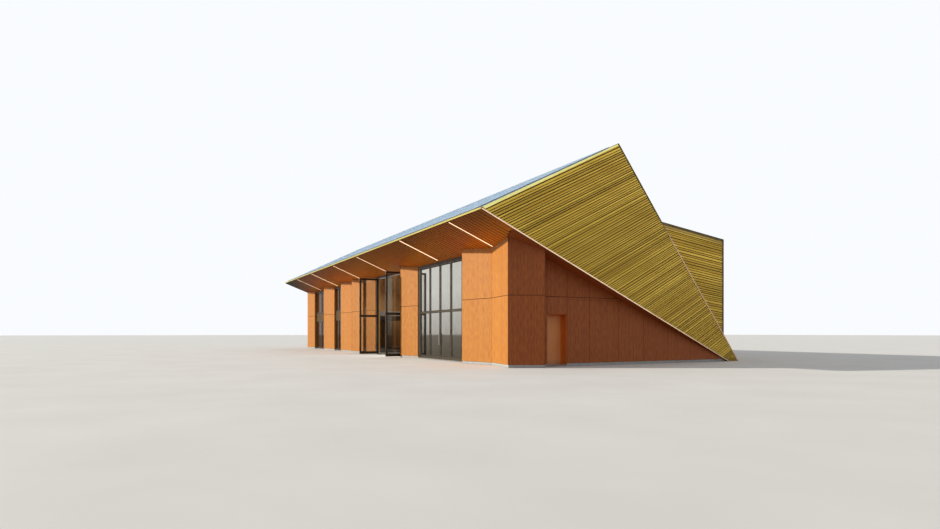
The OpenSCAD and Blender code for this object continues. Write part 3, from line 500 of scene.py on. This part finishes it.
# Window bays
# Storey-high glazing between the piers, with a closed sheet-metal panel at the upper floor.
# Sashes are slim aluminium rings pressed on rubber, set in the fixed frames.
BAYS = ((18.85, 20.55, 1, 1), (24.8603, 27.1313, 1, 0), (27.1913, 28.1103, 0, 1),
        (30.1203, 32.8034, 1, 0), (32.8634, 34.75, 0, 1))
STOREYS = ((0.11, 2.47), (3.23, OPENING_HEAD - 0.06))
FRAME, SEAL, SASH, SASH_BACK, MULLION, WIDE_BAY = 0.06, 0.012, 0.042, -0.04, 0.022, 2.0
sashes, seals = bmesh.new(), bmesh.new()
for u0, u1, first_frame, last_frame in BAYS:
    origin = at(u1 - FRAME * last_frame, DOOR_LINE)
    wide = u1 - u0 - FRAME * (first_frame + last_frame)
    for low, high in STOREYS:
        add_ring(seals, origin, RIGHT, FRONT, 0, wide, low, high, SEAL, SASH_BACK, GASKET_BACK)
        add_ring(sashes, origin, RIGHT, FRONT, SEAL, wide - SEAL, low + SEAL, high - SEAL, SASH,
                 SASH_BACK, -0.006)
        if wide > WIDE_BAY:
            bar = oblong(wide / 2 - MULLION, wide / 2 + MULLION, low + 0.05, high - 0.05)
            add_plate(sashes, origin, RIGHT, FRONT, bar, SASH_BACK, -0.008)
make_piece("window_sashes", sashes, dark_bronze, bevel=0.002)
make_piece("window_seals", seals, rubber)

# Coated sheet panels between the storeys: taupe, folded edges, one upright seam every 0.6 m
spandrel_sheet, tree, shader, place = start_material("coated_steel_sheet", 0.6)
shader.inputs["Specular IOR Level"].default_value = 0.2
tone = layer(tree, "#5A4324", drift(tree, place, (500, 500, 300)), "#66502E")
tone = layer(tree, tone, seam_lines(tree, place, "X", 0.6, 0.006), "#4A4234")
finish(tree, shader, tone, drift(tree, place, 3, 2.0), 0.08)
dress(spandrel_sheet, "window_spandrels")

# Underside of the roof
# Larch boards run from the eave back to the walls under the whole front overhang, stained a
# deeper orange than the walls. Opal light strips are let in between them.
BOARD, BOARD_GAP, BOARD_DEPTH, EDGE_BOARD, CREASE = 0.225, 0.042, 0.015, 0.22, -0.37
BOARDED_SIDE, GABLE_OVERHANG, GABLE_THICKNESS = 1.04, 1.1, 0.12
GABLE_TURN = math.tan(math.radians(4.09))


def gable_out(v):
    """Outer face of the right gable panel, which turns in towards the rear."""
    return -GABLE_OVERHANG + GABLE_TURN * (v - EAVE_LINE)


def gable_in(v):
    """Inner face of the right gable panel."""
    return gable_out(v) + GABLE_THICKNESS * math.hypot(1, GABLE_TURN)


def board_end(v):
    """Where the boards stop at the sides: under the gable panel, short of its bright lower trim."""
    return gable_out(v) + 0.035


def bar_shape(group, start):
    """A bar from its foot point along X, its face towards Z, a little narrower there."""
    block = add(group, "GeometryNodeMeshCube", {"Size": (1, 1, 1)})
    split = add(group, "ShaderNodeSeparateXYZ", [add(group, "GeometryNodeInputPosition")]).outputs
    length = add(group, "ShaderNodeMath", [split["X"], 0.5], operation="ADD")
    depth = add(group, "ShaderNodeMath", [split["Z"], 0.5], operation="ADD")
    loss = add(group, "ShaderNodeMath", [depth, start["Taper"]], operation="MULTIPLY")
    keep = add(group, "ShaderNodeMath", [1.0, loss], operation="SUBTRACT")
    width = add(group, "ShaderNodeMath", [split["Y"], keep], operation="MULTIPLY")
    shaped = add(group, "ShaderNodeCombineXYZ", [length, width, depth])
    return add(group, "GeometryNodeSetPosition", {"Geometry": block, "Position": shaped})


ribs = laid_on_points("rib_field", (("Direction", "Vector"), ("Taper", "Float")), bar_shape)


def lay_ribs(name, lines, along, out, taper, material):
    """Lays bars of (place, size, tone) along one direction, their faces towards the other."""
    x, z = Vector(along).normalized(), Vector(out).normalized()
    turn = Matrix((x, z.cross(x), z)).transposed().to_euler()
    grow(name, ribs, lines, {"Direction": turn, "Taper": taper, "Material": material})


# Stained larch: glossy, each board its own tone, grain along it; painted shade makes it darker towards the
# eave and at the eave's left end
soffit_larch, tree, shader, place = start_material("stained_larch_soffit", 0.38)
own = add(tree, "ShaderNodeAttribute", attribute_name="tone").outputs["Fac"]
grain, cloud = drift(tree, place, (14, 520, 200), 5.0), drift(tree, place, (1700, 900, 900), 2.0)
tone = layer(tree, layer(tree, "#FF9A24", own, "#FF8414"), grain, "#A84C0A", 0.2)
axes = add(tree, "ShaderNodeSeparateXYZ", [place]).outputs
# Painted shade: deepest at the eave and at the left end of the overhang
eave = add(tree, "ShaderNodeMapRange", [axes["Y"], -8.3, -6.7, 0.55, 0.0])
left = add(tree, "ShaderNodeMapRange", [axes["X"], -19.2, -12.5, 0.7, 0.0])
painted_shade = add(tree, "ShaderNodeMath", [eave, left], use_clamp=True)
tone = layer(tree, layer(tree, tone, cloud, "#FF9A24", 0.3), painted_shade, "#4A3A14")

# The sides of the boards, above their lower faces, are painted dark as deep shadow
face = add(tree, "ShaderNodeMath", [axes["Y"], UNDER_SLOPE, axes["Z"]], operation="MULTIPLY_ADD")
level = UNDER_SLOPE * (UNDER_FOOT - SET_OUT[1]) - (BOARD_DEPTH - 0.002) * math.hypot(1, UNDER_SLOPE)
side = add(tree, "ShaderNodeMath", [face, level], operation="GREATER_THAN")
finish(tree, shader, layer(tree, tone, side, "#3A1A08"), grain, 0.5, (grain, 0.3, 0.5))

chance = random.Random(7)
v0, down, face_down = EAVE_LINE + 0.004, Vector((0, 1, -UNDER_SLOPE)), (0, -UNDER_SLOPE, -1)
boards, boarded = [], HALL + 2 * BOARDED_SIDE
count = int(boarded / (BOARD + BOARD_GAP))
for i in range(count):
    u = (i + 0.5) * boarded / count - BOARDED_SIDE
    side, v1 = min(u - BOARD / 2, HALL - u - BOARD / 2), DOOR_LINE - 0.004
    if side < 0:
        v1 = CREASE if side < gable_in(CREASE) else CREASE * side / gable_in(CREASE)
    if side < board_end(CREASE):
        v1 = min(v1, EAVE_LINE + (side - board_end(EAVE_LINE)) / GABLE_TURN)
    if v1 - v0 > 0.05:
        boards.append((at(u, v0, under(v0)), ((v1 - v0) * down.length, BOARD, BOARD_DEPTH), chance.random()))
lay_ribs("soffit_boards", boards, down, face_down, 0.03, soffit_larch)
for label, sign in (("right", 1), ("left", -1)):
    along = Vector((-GABLE_TURN * sign, 1, -UNDER_SLOPE))
    spot = at(board_end(v0) + EDGE_BOARD / 2, v0, under(v0))
    spot.x *= sign
    size = ((CREASE - v0) * along.length, EDGE_BOARD, BOARD_DEPTH + 0.002)
    lay_ribs("soffit_edge_board_" + label, [(spot, size, 0.5)], along, face_down, 0.03, soffit_larch)


# Plywood that carries the boards, dark in the joints, and the lighter boards at the sides
def ply(name, light, dark):
    """Stained veneer with long fibres and a fine joint every 190 mm."""
    material, tree, shader, place = start_material(name, 0.7)
    fibre = drift(tree, place, (25, 600, 400))
    tone = layer(tree, layer(tree, light, fibre, dark), seam_lines(tree, place, "Y", 0.19, 0.004), "#1C0E07")
    finish(tree, shader, tone, fibre, 0.4)
    return material


dress(ply("dark_stained_plywood", "#2A1407", "#371B0B"), "front_soffit")
dress(ply("stained_side_boards", "#B55C22", "#CE6E2C"), "side_soffits")

# Opal acrylic cover of the light strips, glowing faintly warm
opal, tree, shader, place = start_material("opal_acrylic", 0.35)
shader.inputs["Emission Color"].default_value = srgb("#FFD9B0")
shader.inputs["Emission Strength"].default_value = 1.5
finish(tree, shader, layer(tree, "#F6E2CC", drift(tree, place, (60, 300, 60), 2.0), "#FFF0DC"))
dress(opal, "light_strips")

# Front roof slope
# Rows of glazed solar modules lie on a standing-seam sheet. Anodised clamping bars run along
# and up the slope between them, a bare margin is left along the verges and the ridge.
COLUMNS, ROWS, FIELD_EDGE, MODULE_RISE, MODULE_GAP = 21, 7, 0.4, 1.06, 0.03
roof_up = Vector((0, 1, FRONT_SLOPE)).normalized()
roof_out = Vector((0, -FRONT_SLOPE, 1)).normalized()
first = at(HALL + FIELD_EDGE, EAVE_LINE, EAVE_TOP) + roof_up * 0.12 + roof_out * 0.012
field = HALL + 2 * FIELD_EDGE
step = field / COLUMNS

# Solar glass: deep blue-grey cells behind clear glass, coloured pale blue-grey all over: a painted reflection
# of the sky, as it shows at a low angle
solar_glass, tree, shader, place = start_material("solar_module_glass", 0.5)
shader.inputs["Specular IOR Level"].default_value = 0.08
own, cloud = add(tree, "ShaderNodeAttribute", attribute_name="tone").outputs["Fac"], drift(tree, place, 900)
cells = [seam_lines(tree, place, axis, pitch, 0.004) for axis, pitch in (("X", 0.158), ("Y", 0.142))]
grid = add(tree, "ShaderNodeMath", [cells[0], cells[1]], operation="MAXIMUM")
tone = layer(tree, layer(tree, "#9DBAD6", own, "#A5C1DB"), cloud, "#AFC8E0", 0.35)
finish(tree, shader, layer(tree, tone, grid, "#A9B8CC", 0.12), rough=(cloud, 0.45, 0.6))

chance = random.Random(19)
modules = [(first + RIGHT * (column * step + MODULE_GAP / 2) + roof_up * (row + 0.5) * MODULE_RISE,
            (step - MODULE_GAP, MODULE_RISE - MODULE_GAP, 0.028), chance.random())
           for row in range(ROWS) for column in range(COLUMNS)]
rails = [(first + roof_up * row * MODULE_RISE, (field, 0.034, 0.034), 0.5) for row in range(ROWS + 1)]
bars = [(first + RIGHT * column * step, (ROWS * MODULE_RISE, 0.03, 0.032), 0.5)
        for column in range(COLUMNS + 1)]
clamp_metal = anodised("clear_anodised_aluminium", "#8C9CAE", "#7A8A9C", 0.4)
lay_ribs("solar_modules", modules, RIGHT, roof_out, 0.004, solar_glass)
lay_ribs("module_rails", rails, RIGHT, roof_out, 0.1, clamp_metal)
lay_ribs("module_bars", bars, roof_up, roof_out, 0.1, clamp_metal)


def line_inside(tree, place, tone, slope, level):
    """Pale spruce boards on what lies 30 mm or more under a roof's outer plane; gives the tone and where."""
    axes = add(tree, "ShaderNodeSeparateXYZ", [place]).outputs
    plane = add(tree, "ShaderNodeMath", [axes["Y"], slope, level], operation="MULTIPLY_ADD")
    gap = add(tree, "ShaderNodeMath", [plane, axes["Z"]], operation="SUBTRACT")
    inside = add(tree, "ShaderNodeMath", [gap, 0.03], operation="GREATER_THAN")
    spruce = layer(tree, "#D0AE82", drift(tree, place, (140, 900, 900)), "#E2C8A2")
    return layer(tree, tone, inside, spruce), inside


def roof_sheet(name, light, dark, plane=None):
    """Coated steel sheet under the modules and on the rear volume: low gloss, a seam every 0.53 m."""
    material, tree, shader, place = start_material(name, 0.5, 0.2)
    across = add(tree, "ShaderNodeSeparateXYZ", [place]).outputs["X"]
    part = add(tree, "ShaderNodeMath", [across, 0.265], operation="PINGPONG")
    seam = add(tree, "ShaderNodeMapRange", [part, 0.0, 0.012, 1.0, 0.0])
    tone = layer(tree, layer(tree, light, drift(tree, place, 1100), dark), seam, "#4B4F52", 0.4)
    if plane:
        tone, _ = line_inside(tree, place, tone, *plane)
    grit = drift(tree, place, 4, 2.0)
    lift = add(tree, "ShaderNodeMath", [grit, 0.02, seam], operation="MULTIPLY_ADD")
    finish(tree, shader, tone, lift, 12.0, strength=0.6)
    return material


front_plane = (FRONT_SLOPE, EAVE_TOP + FRONT_SLOPE * (SET_OUT[1] - EAVE_LINE))
dress(roof_sheet("blue_grey_coated_steel", "#7F90A3", "#95A4B5", front_plane), "front_roof")
dress(roof_sheet("stone_grey_coated_steel", "#827F70", "#959180"), "annex_roof_slab")

# Gable panels and metal cladding
# The walls that show and both gable panels are clad with gold-coloured aluminium ribs of mixed
# width, screwed side by side on a backing sheet and running parallel to the roof edge. The sheet
# is painted dark, as the shade in the gaps between the ribs.
RIB_GAPS, RIB_DEPTHS, GABLE_FOOT = (0.018, 0.024, 0.034), (0.014, 0.018, 0.021), 0.14


def gold(name, light, mid, dark, plane=None):
    """Gold anodised ribs: satin metal, each rib its own shade, thin lengthwise lines, dull patches."""
    material, tree, shader, place = start_material(name, 0.42, 0.72)
    own = add(tree, "ShaderNodeAttribute", attribute_name="tone").outputs["Fac"]
    lines, cloud = drift(tree, place, (5, 1500, 5), 3.0), drift(tree, place, (900, 3400, 700), 2.0)
    tone = layer(tree, layer(tree, layer(tree, mid, own, light), lines, dark, 0.1), cloud, mid, 0.35)
    if plane:
        tone, inside = line_inside(tree, place, tone, *plane)
        metal = add(tree, "ShaderNodeMapRange", [inside, 0.0, 1.0, 0.72, 0.0])
        tree.links.new(metal.outputs[0], shader.inputs["Metallic"])
    finish(tree, shader, tone, lines, 0.25, (cloud, 0.36, 0.54))
    return material


gold_ribs = gold("gold_anodised_ribs", "#F2CC52", "#C49E37", "#745A16")

# Backing sheet: painted shade, dark behind the ribs as in the gaps between them; brighter along its
# foot, orange where it shows from below
backing_sheet, tree, shader, place = start_material("painted_shade_backing_sheet", 0.75)
axes = add(tree, "ShaderNodeSeparateXYZ", [place]).outputs
plane = add(tree, "ShaderNodeMath", [axes["Y"], UNDER_SLOPE, axes["Z"]], operation="MULTIPLY_ADD")
level = UNDER_SLOPE * (UNDER_FOOT - SET_OUT[1]) + 0.004
below = add(tree, "ShaderNodeMath", [plane, level], operation="LESS_THAN")
deep = add(tree, "ShaderNodeMapRange", [axes["Y"], -6.85, -6.8])
# Dark olive-brown: painted shade of the gaps between the ribs
tone = layer(tree, "#4A3A08", drift(tree, place, 300), "#5A470E")
tone = layer(tree, tone, near_ground(tree, place, 0.15, 0.19), "#B0903A")
tone = layer(tree, tone, below, layer(tree, "#F08428", deep, "#B55C22"))
finish(tree, shader, tone, drift(tree, place, 6, 2.0), 0.15)
dress(backing_sheet, "gable_panel_right", "gable_panel_left", "annex_side_walls", "annex_back_wall")


def span(outline, slope, level):
    """Where the line h = level + slope * v crosses a convex outline in v and h."""
    hits = []
    for p, q in zip(outline, outline[1:] + outline[:1]):
        f, g = p[1] - level - slope * p[0], q[1] - level - slope * q[0]
        if (f >= 0) != (g >= 0):
            hits.append(p[0] + f / (f - g) * (q[0] - p[0]))
    return (min(hits), max(hits)) if len(hits) > 1 else None


def rib_rows(outline, slope, top, chance, widths):
    """Rib lines under a top edge: (level of the middle, start, end, width, depth, tone)."""
    rows, level, lean = [], top, math.hypot(1, slope)
    lowest = min(h - slope * v for v, h in outline)
    while True:
        width, gap = chance.choice(widths), chance.choice(RIB_GAPS)
        level -= (width / 2) * lean
        reach = span(outline, slope, level)
        if reach:
            depth, tone = chance.choice(RIB_DEPTHS), chance.random()
            rows.append((level, reach[0] + 0.02, reach[1] - 0.02, width, depth, tone))
        elif level < lowest:
            return rows
        level -= (width / 2 + gap) * lean


def clad_both_ends(name, rows, slope, edge, turn=0.0):
    """Lays the same rows of gold ribs on the right end and mirrored on the left end."""
    for label, sign in (("right", 1), ("left", -1)):
        along, lines = Vector((-turn * sign, 1, slope)), []
        for level, v0, v1, width, depth, tone in rows:
            spot = at(edge(v0), v0, level + slope * v0)
            spot.x *= sign
            if v1 - v0 > 0.05:
                lines.append((spot, ((v1 - v0) * along.length, width, depth), tone))
        lay_ribs(name + label, lines, along, (sign, turn, 0), 0.2, gold_ribs)


gable_outline = [(EAVE_LINE + 0.004, EAVE_UNDER), (EAVE_LINE + 0.004, EAVE_TOP), (RIDGE_LINE, RIDGE_TOP),
                 (REAR_FOOT - GABLE_FOOT / REAR_SLOPE, GABLE_FOOT),
                 (UNDER_FOOT - GABLE_FOOT / UNDER_SLOPE, GABLE_FOOT)]
rows = rib_rows(gable_outline, FRONT_SLOPE, EAVE_TOP - FRONT_SLOPE * EAVE_LINE - 0.05, random.Random(11),
                (0.055, 0.075, 0.1))
clad_both_ends("gable_ribs_", rows, FRONT_SLOPE, gable_out, GABLE_TURN)


def flashing(name, light, dark, rough=0.35, metal=0.0, foot=None):
    """Folded aluminium flashing, powder-coated, with a butt joint every three metres."""
    material, tree, shader, place = start_material(name, rough, metal)
    cloud = drift(tree, place, 400)
    tone = layer(tree, light, cloud, dark)
    if foot:
        tone = layer(tree, tone, near_ground(tree, place, 5.6, 6.6), foot)
    joints = [seam_lines(tree, place, axis, 3.0, 0.005) for axis in "XY"]
    seam = add(tree, "ShaderNodeMath", [joints[0], joints[1]], operation="MAXIMUM")
    finish(tree, shader, layer(tree, tone, seam, "#3A3222", 0.5), drift(tree, place, 5, 2.0), 0.1,
           (cloud, rough - 0.05, rough + 0.1))
    return material


dress(flashing("lemon_powder_coat", "#E0CF64", "#D2BE52"), "eave_fascia")
dress(flashing("lemon_anodised_aluminium", "#FFF7A0", "#F6EA84", 0.3, 0.85), "gable_verge_bands")
dress(flashing("blush_anodised_aluminium", "#FFE3C4", "#F6D3B0", 0.2, 1.0), "gable_lower_trims")
dress(flashing("two_tone_edge_sheet", "#5A4A1C", "#473A14", 0.4, 0.7, "#E3BE9A"), "gable_rear_trims")
dress(flashing("olive_edge_sheet", "#6E5F2C", "#5A4D22", 0.45, 0.3), "annex_edge_trims")
dress(flashing("olive_powder_coat", "#857D4C", "#746C3F", 0.4, 0.2), "ridge_cap")

# Rear roof slope
# The steep rear slope falls from the ridge to the ground, clad in gold trays with raised
# standing seams every 0.45 m; in the middle the rear volume pushes up through it.
ANNEX, ANNEX_TOP, ANNEX_RISE, ANNEX_END, TRAYS, SEAM_EDGE = (3.4, HALL - 3.4), 6.9, 0.127, 16.75, 82, 0.06
MEET = (REAR_SLOPE * REAR_FOOT - ANNEX_TOP - ANNEX_RISE * ANNEX_END) / (REAR_SLOPE - ANNEX_RISE)
rear_down, v0 = Vector((0, 1, -REAR_SLOPE)), RIDGE_LINE + 0.16
seams, edge = [], gable_in(RIDGE_LINE) + SEAM_EDGE
for i in range(TRAYS + 1):
    u = edge + i * (HALL - 2 * edge) / TRAYS
    side, inside = min(u, HALL - u), ANNEX[0] - SEAM_EDGE < u < ANNEX[1] + SEAM_EDGE
    v1 = MEET - 0.03 if inside else REAR_FOOT - SEAM_EDGE
    if side < gable_in(v1):
        v1 = EAVE_LINE + (side - gable_in(EAVE_LINE)) / GABLE_TURN - 0.02
    seams.append((at(u, v0, REAR_SLOPE * (REAR_FOOT - v0)), ((v1 - v0) * rear_down.length, 0.026, 0.03), 0.5))
gold_trays = gold("gold_anodised_trays", "#C8A73F", "#A88A30", "#6C5318",
                  (-REAR_SLOPE, REAR_SLOPE * (REAR_FOOT - SET_OUT[1])))
dress(gold_trays, "rear_roof_slope")
lay_ribs("rear_standing_seams", seams, rear_down, (0, REAR_SLOPE, 1), 0.3, gold_trays)

# Side door
# A flush personnel door in a painted timber frame, set back behind the full wall thickness. The
# leaf hangs on three barrel hinges and opens into the hall; both faces have a lever handle.
LEAF_BOARDS, LEAF_RIM, GROOVE_HALF, REVEAL, REVEAL_BOARD, REVEAL_TOP = 6, 0.039, 0.0015, 0.316, 0.014, 2.235
door_low, door_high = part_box("side_door_leaf")
origin, leaf_wide = Vector((door_high.x, door_low.y, 0)), door_high.y - door_low.y
door_paint, tree, shader, place = start_material("russet_door_paint", 0.42)
brush, cloud = drift(tree, place, (6, 6, 500), 3.0), drift(tree, place, (400, 400, 700))
tone = layer(tree, layer(tree, "#FFAE68", cloud, "#F7A05C"), brush, "#A9623A", 0.2)
finish(tree, shader, layer(tree, tone, near_ground(tree, place, 0.12, 0.3, 0.35), "#8E6248"), brush, 0.12)
dress(door_paint, "side_door_leaf")
edge_ring, leaf_face, wide = bmesh.new(), bmesh.new(), (leaf_wide - 2 * LEAF_RIM) / LEAF_BOARDS
add_ring(edge_ring, origin, INWARD, RIGHT, 0.0, leaf_wide, door_low.z, door_high.z, 0.035, -0.001, 0.003)
for a in (LEAF_RIM + s * wide for s in range(LEAF_BOARDS)):
    board = oblong(a + GROOVE_HALF, a + wide - GROOVE_HALF, door_low.z + 0.04, door_high.z - 0.04)
    add_plate(leaf_face, origin, INWARD, RIGHT, board, -0.001, 0.004)
make_piece("side_door_edge_band", edge_ring, door_paint, "side_door", 0.001)
make_piece("side_door_face_boards", leaf_face, door_paint, "side_door", 0.001)

frame_timber, tree, shader, place = start_material("oiled_frame_timber", 0.5)
grain = drift(tree, place, (9, 9, 420), 5.0)
finish(tree, shader, layer(tree, "#F28C34", grain, "#D57324"), grain, 0.4, (grain, 0.42, 0.6))
dress(frame_timber, "side_door_frame")

# Boards that line the reveal: one at each side, one under the head
reveal, inner = bmesh.new(), REVEAL - 0.018
for v, out in ((DOOR_SIDES[0], INWARD), (DOOR_SIDES[1], FRONT)):
    add_plate(reveal, at(inner, v), RIGHT, out, oblong(0, REVEAL, 0.055, REVEAL_TOP), -0.001, REVEAL_BOARD)
add_plate(reveal, at(inner, 0), RIGHT, INWARD,
          oblong(0, REVEAL, REVEAL_TOP + 0.001 - REVEAL_BOARD, REVEAL_TOP + 0.001),
          DOOR_SIDES[0] + 0.001, DOOR_SIDES[1] - 0.001)
make_piece("side_door_reveal_boards", reveal, frame_timber, bevel=0.002)

# Doorway sill: ribbed aluminium, in front of the frame
sill, sill_start, sill_long = bmesh.new(), DOOR_SIDES[0] + 0.015, 0.99
for k in range(9):
    add_plate(sill, at(0.29 - k * 0.033, sill_start), INWARD, RIGHT, oblong(0, sill_long, 0.05, 0.062),
              -0.012, 0.012)
add_plate(sill, at(0.29, sill_start), INWARD, RIGHT, oblong(0, sill_long, 0.0485, 0.055), -0.012, 0.29)
make_piece("side_door_sill_ribs", sill, clamp_metal, bevel=0.001)

# Round roses behind the lever and over the lock, on both faces
dress(stainless, "side_door_fittings")
roses, ROSE_RADIUS = bmesh.new(), 0.026
for x in (door_high.x + 0.008, door_low.x - 0.004):
    for h in (1.1, 1.01):
        spot = Matrix.Translation(Vector((x, door_low.y + 0.07, h))) @ Matrix.Rotation(QUARTER, 4, "Y")
        bmesh.ops.create_cone(roses, cap_ends=True, segments=28, radius1=ROSE_RADIUS, radius2=ROSE_RADIUS,
                              depth=0.009, matrix=spot)
make_piece("side_door_roses", roses, stainless, "side_door", 0.0015)

# Rear volume
# A two-storey box behind the hall under one low-pitched roof. Its walls carry the same gold ribs,
# parallel to its roof at the sides and level at the back, broken at two rows of windows.
WIDE_RIBS, RIB_FOOT, WALL_TOP = (0.08, 0.11, 0.14), 0.12, 6.84
WINDOWS, WINDOW_WIDE, WINDOW_TALL, FEET, TRIM = 6, 1.8, 1.3, (1.0, 3.85), 0.03
side_outline = [(MEET + 0.06, ANNEX_TOP + ANNEX_RISE * (ANNEX_END - MEET) - 0.06),
                (ANNEX_END - 0.03, ANNEX_TOP), (ANNEX_END - 0.03, RIB_FOOT), (REAR_FOOT + 0.02, RIB_FOOT)]
chance = random.Random(31)
rows = rib_rows(side_outline, -ANNEX_RISE, ANNEX_TOP + ANNEX_RISE * ANNEX_END - 0.05, chance, WIDE_RIBS)
clad_both_ends("rear_volume_ribs_", rows, -ANNEX_RISE, lambda v: ANNEX[0])

pitch = (ANNEX[1] - ANNEX[0]) / WINDOWS
openings = [ANNEX[0] + (i + 0.5) * pitch - WINDOW_WIDE / 2 for i in range(WINDOWS)]
back_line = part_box("annex_back_wall")[1].y + SET_OUT[1]
lines, level = [], 0.06
while level < WALL_TOP - 0.06:
    width, gap = chance.choice(WIDE_RIBS), chance.choice(RIB_GAPS)
    width = min(width, WALL_TOP - level)
    depth, tone = chance.choice(RIB_DEPTHS), chance.random()
    stops = [ANNEX[0] + 0.02, ANNEX[1] - 0.02]
    if any(level + width > foot - TRIM and level < foot + WINDOW_TALL + TRIM for foot in FEET):
        stops[1:1] = [x for o in openings for x in (o - TRIM, o + WINDOW_WIDE + TRIM)]
    lines += [(at(b, back_line, level + width / 2), (b - a, width, depth), tone)
              for a, b in zip(stops[::2], stops[1::2])]
    level += width + gap
lay_ribs("rear_wall_ribs", lines, RIGHT, INWARD, 0.2, gold_ribs)

# Window surrounds: bent sheet frames that finish the ribs, with sashes and rubber seals inside
surrounds, sashes, seals = bmesh.new(), bmesh.new(), bmesh.new()
for foot in FEET:
    for o in openings:
        origin, top = at(o + WINDOW_WIDE, back_line), foot + WINDOW_TALL
        add_ring(surrounds, origin, RIGHT, INWARD, -TRIM, WINDOW_WIDE + TRIM, foot - TRIM, top + TRIM,
                 0.034, -0.08, 0.026)
        add_ring(seals, origin, RIGHT, INWARD, FRAME, WINDOW_WIDE - FRAME, foot + FRAME, top - FRAME,
                 SEAL, -0.106, -0.095)
        for a, b in ((FRAME, WINDOW_WIDE / 2), (WINDOW_WIDE / 2, WINDOW_WIDE - FRAME)):
            add_ring(sashes, origin, RIGHT, INWARD, a + SEAL, b - SEAL, foot + FRAME + SEAL,
                     top - FRAME - SEAL, 0.045, -0.106, -0.084)
make_piece("rear_window_surrounds", surrounds, dark_bronze, bevel=0.002)
make_piece("rear_window_sashes", sashes, dark_bronze, bevel=0.002)
make_piece("rear_window_seals", seals, rubber)

# Floor, light and camera
# A plain pale studio floor under soft light from the left front, seen from eye height.
ground, data = bmesh.new(), bpy.data.meshes.new("studio_floor")
bmesh.ops.create_grid(ground, x_segments=1, y_segments=1, size=400, matrix=Matrix.Translation((0, 0, -0.002)))
ground.to_mesh(data)
ground.free()
floor = place_object("studio_floor", data)
pale, tree, shader, place = start_material("pale_studio_floor", 0.9)
pale_tone = layer(tree, "#E2E1DE", drift(tree, place, 2500, 3.0), "#E9E8E6")
seen = add(tree, "ShaderNodeLightPath").outputs["Is Camera Ray"]
finish(tree, shader, layer(tree, "#7C7973", seen, pale_tone))
data.materials.append(pale)

sun = bpy.data.lights.new("key_light", "SUN")
sun.energy, sun.angle, sun.color = 3.3, math.radians(1.5), (1.0, 0.94, 0.83)
lamp = place_object("key_light", sun)
rise, swing = math.radians(24.3), math.radians(28)
to_light = Vector((-math.sin(swing) * math.cos(rise), -math.cos(swing) * math.cos(rise), math.sin(rise)))
lamp.rotation_euler = to_light.to_track_quat("Z", "Y").to_euler()

fill = bpy.data.lights.new("hall_light", "AREA")
fill.shape, fill.size, fill.size_y, fill.energy, fill.color = "RECTANGLE", 30, 6, 1300, (1.0, 0.93, 0.86)
lamp = place_object("hall_light", fill)
lamp.location = at(HALL / 2, 5.0, 5.6)
lamp.visible_camera = lamp.visible_glossy = False

world = bpy.data.worlds.new("studio")
world.use_nodes = True
bpy.context.scene.world = world
tree = world.node_tree
sky, rays = tree.nodes["Background"], add(tree, "ShaderNodeLightPath").outputs
seen = rays["Is Camera Ray"]
for way in ("Is Glossy Ray", "Is Transmission Ray"):
    seen = add(tree, "ShaderNodeMath", [seen, rays[way]], operation="MAXIMUM")
level = add(tree, "ShaderNodeMapRange", [seen, 0.0, 1.0, 0.42, 1.0])
sky.inputs["Color"].default_value = (0.95, 0.97, 1.0, 1)
tree.links.new(level.outputs[0], sky.inputs["Strength"])

camera = place_object("camera", bpy.data.cameras.new("camera"))
camera.location = (39.2735, -19.2409, 1.425)
camera.rotation_euler = Vector((-0.88644, 0.46284, 0)).to_track_quat("-Z", "Y").to_euler()
camera.data.lens, camera.data.sensor_width, camera.data.shift_y = 23.165, 36, 0.0729
camera.data.clip_end = 1000
bpy.context.scene.camera = camera
bpy.context.scene.view_settings.view_transform = "Standard"
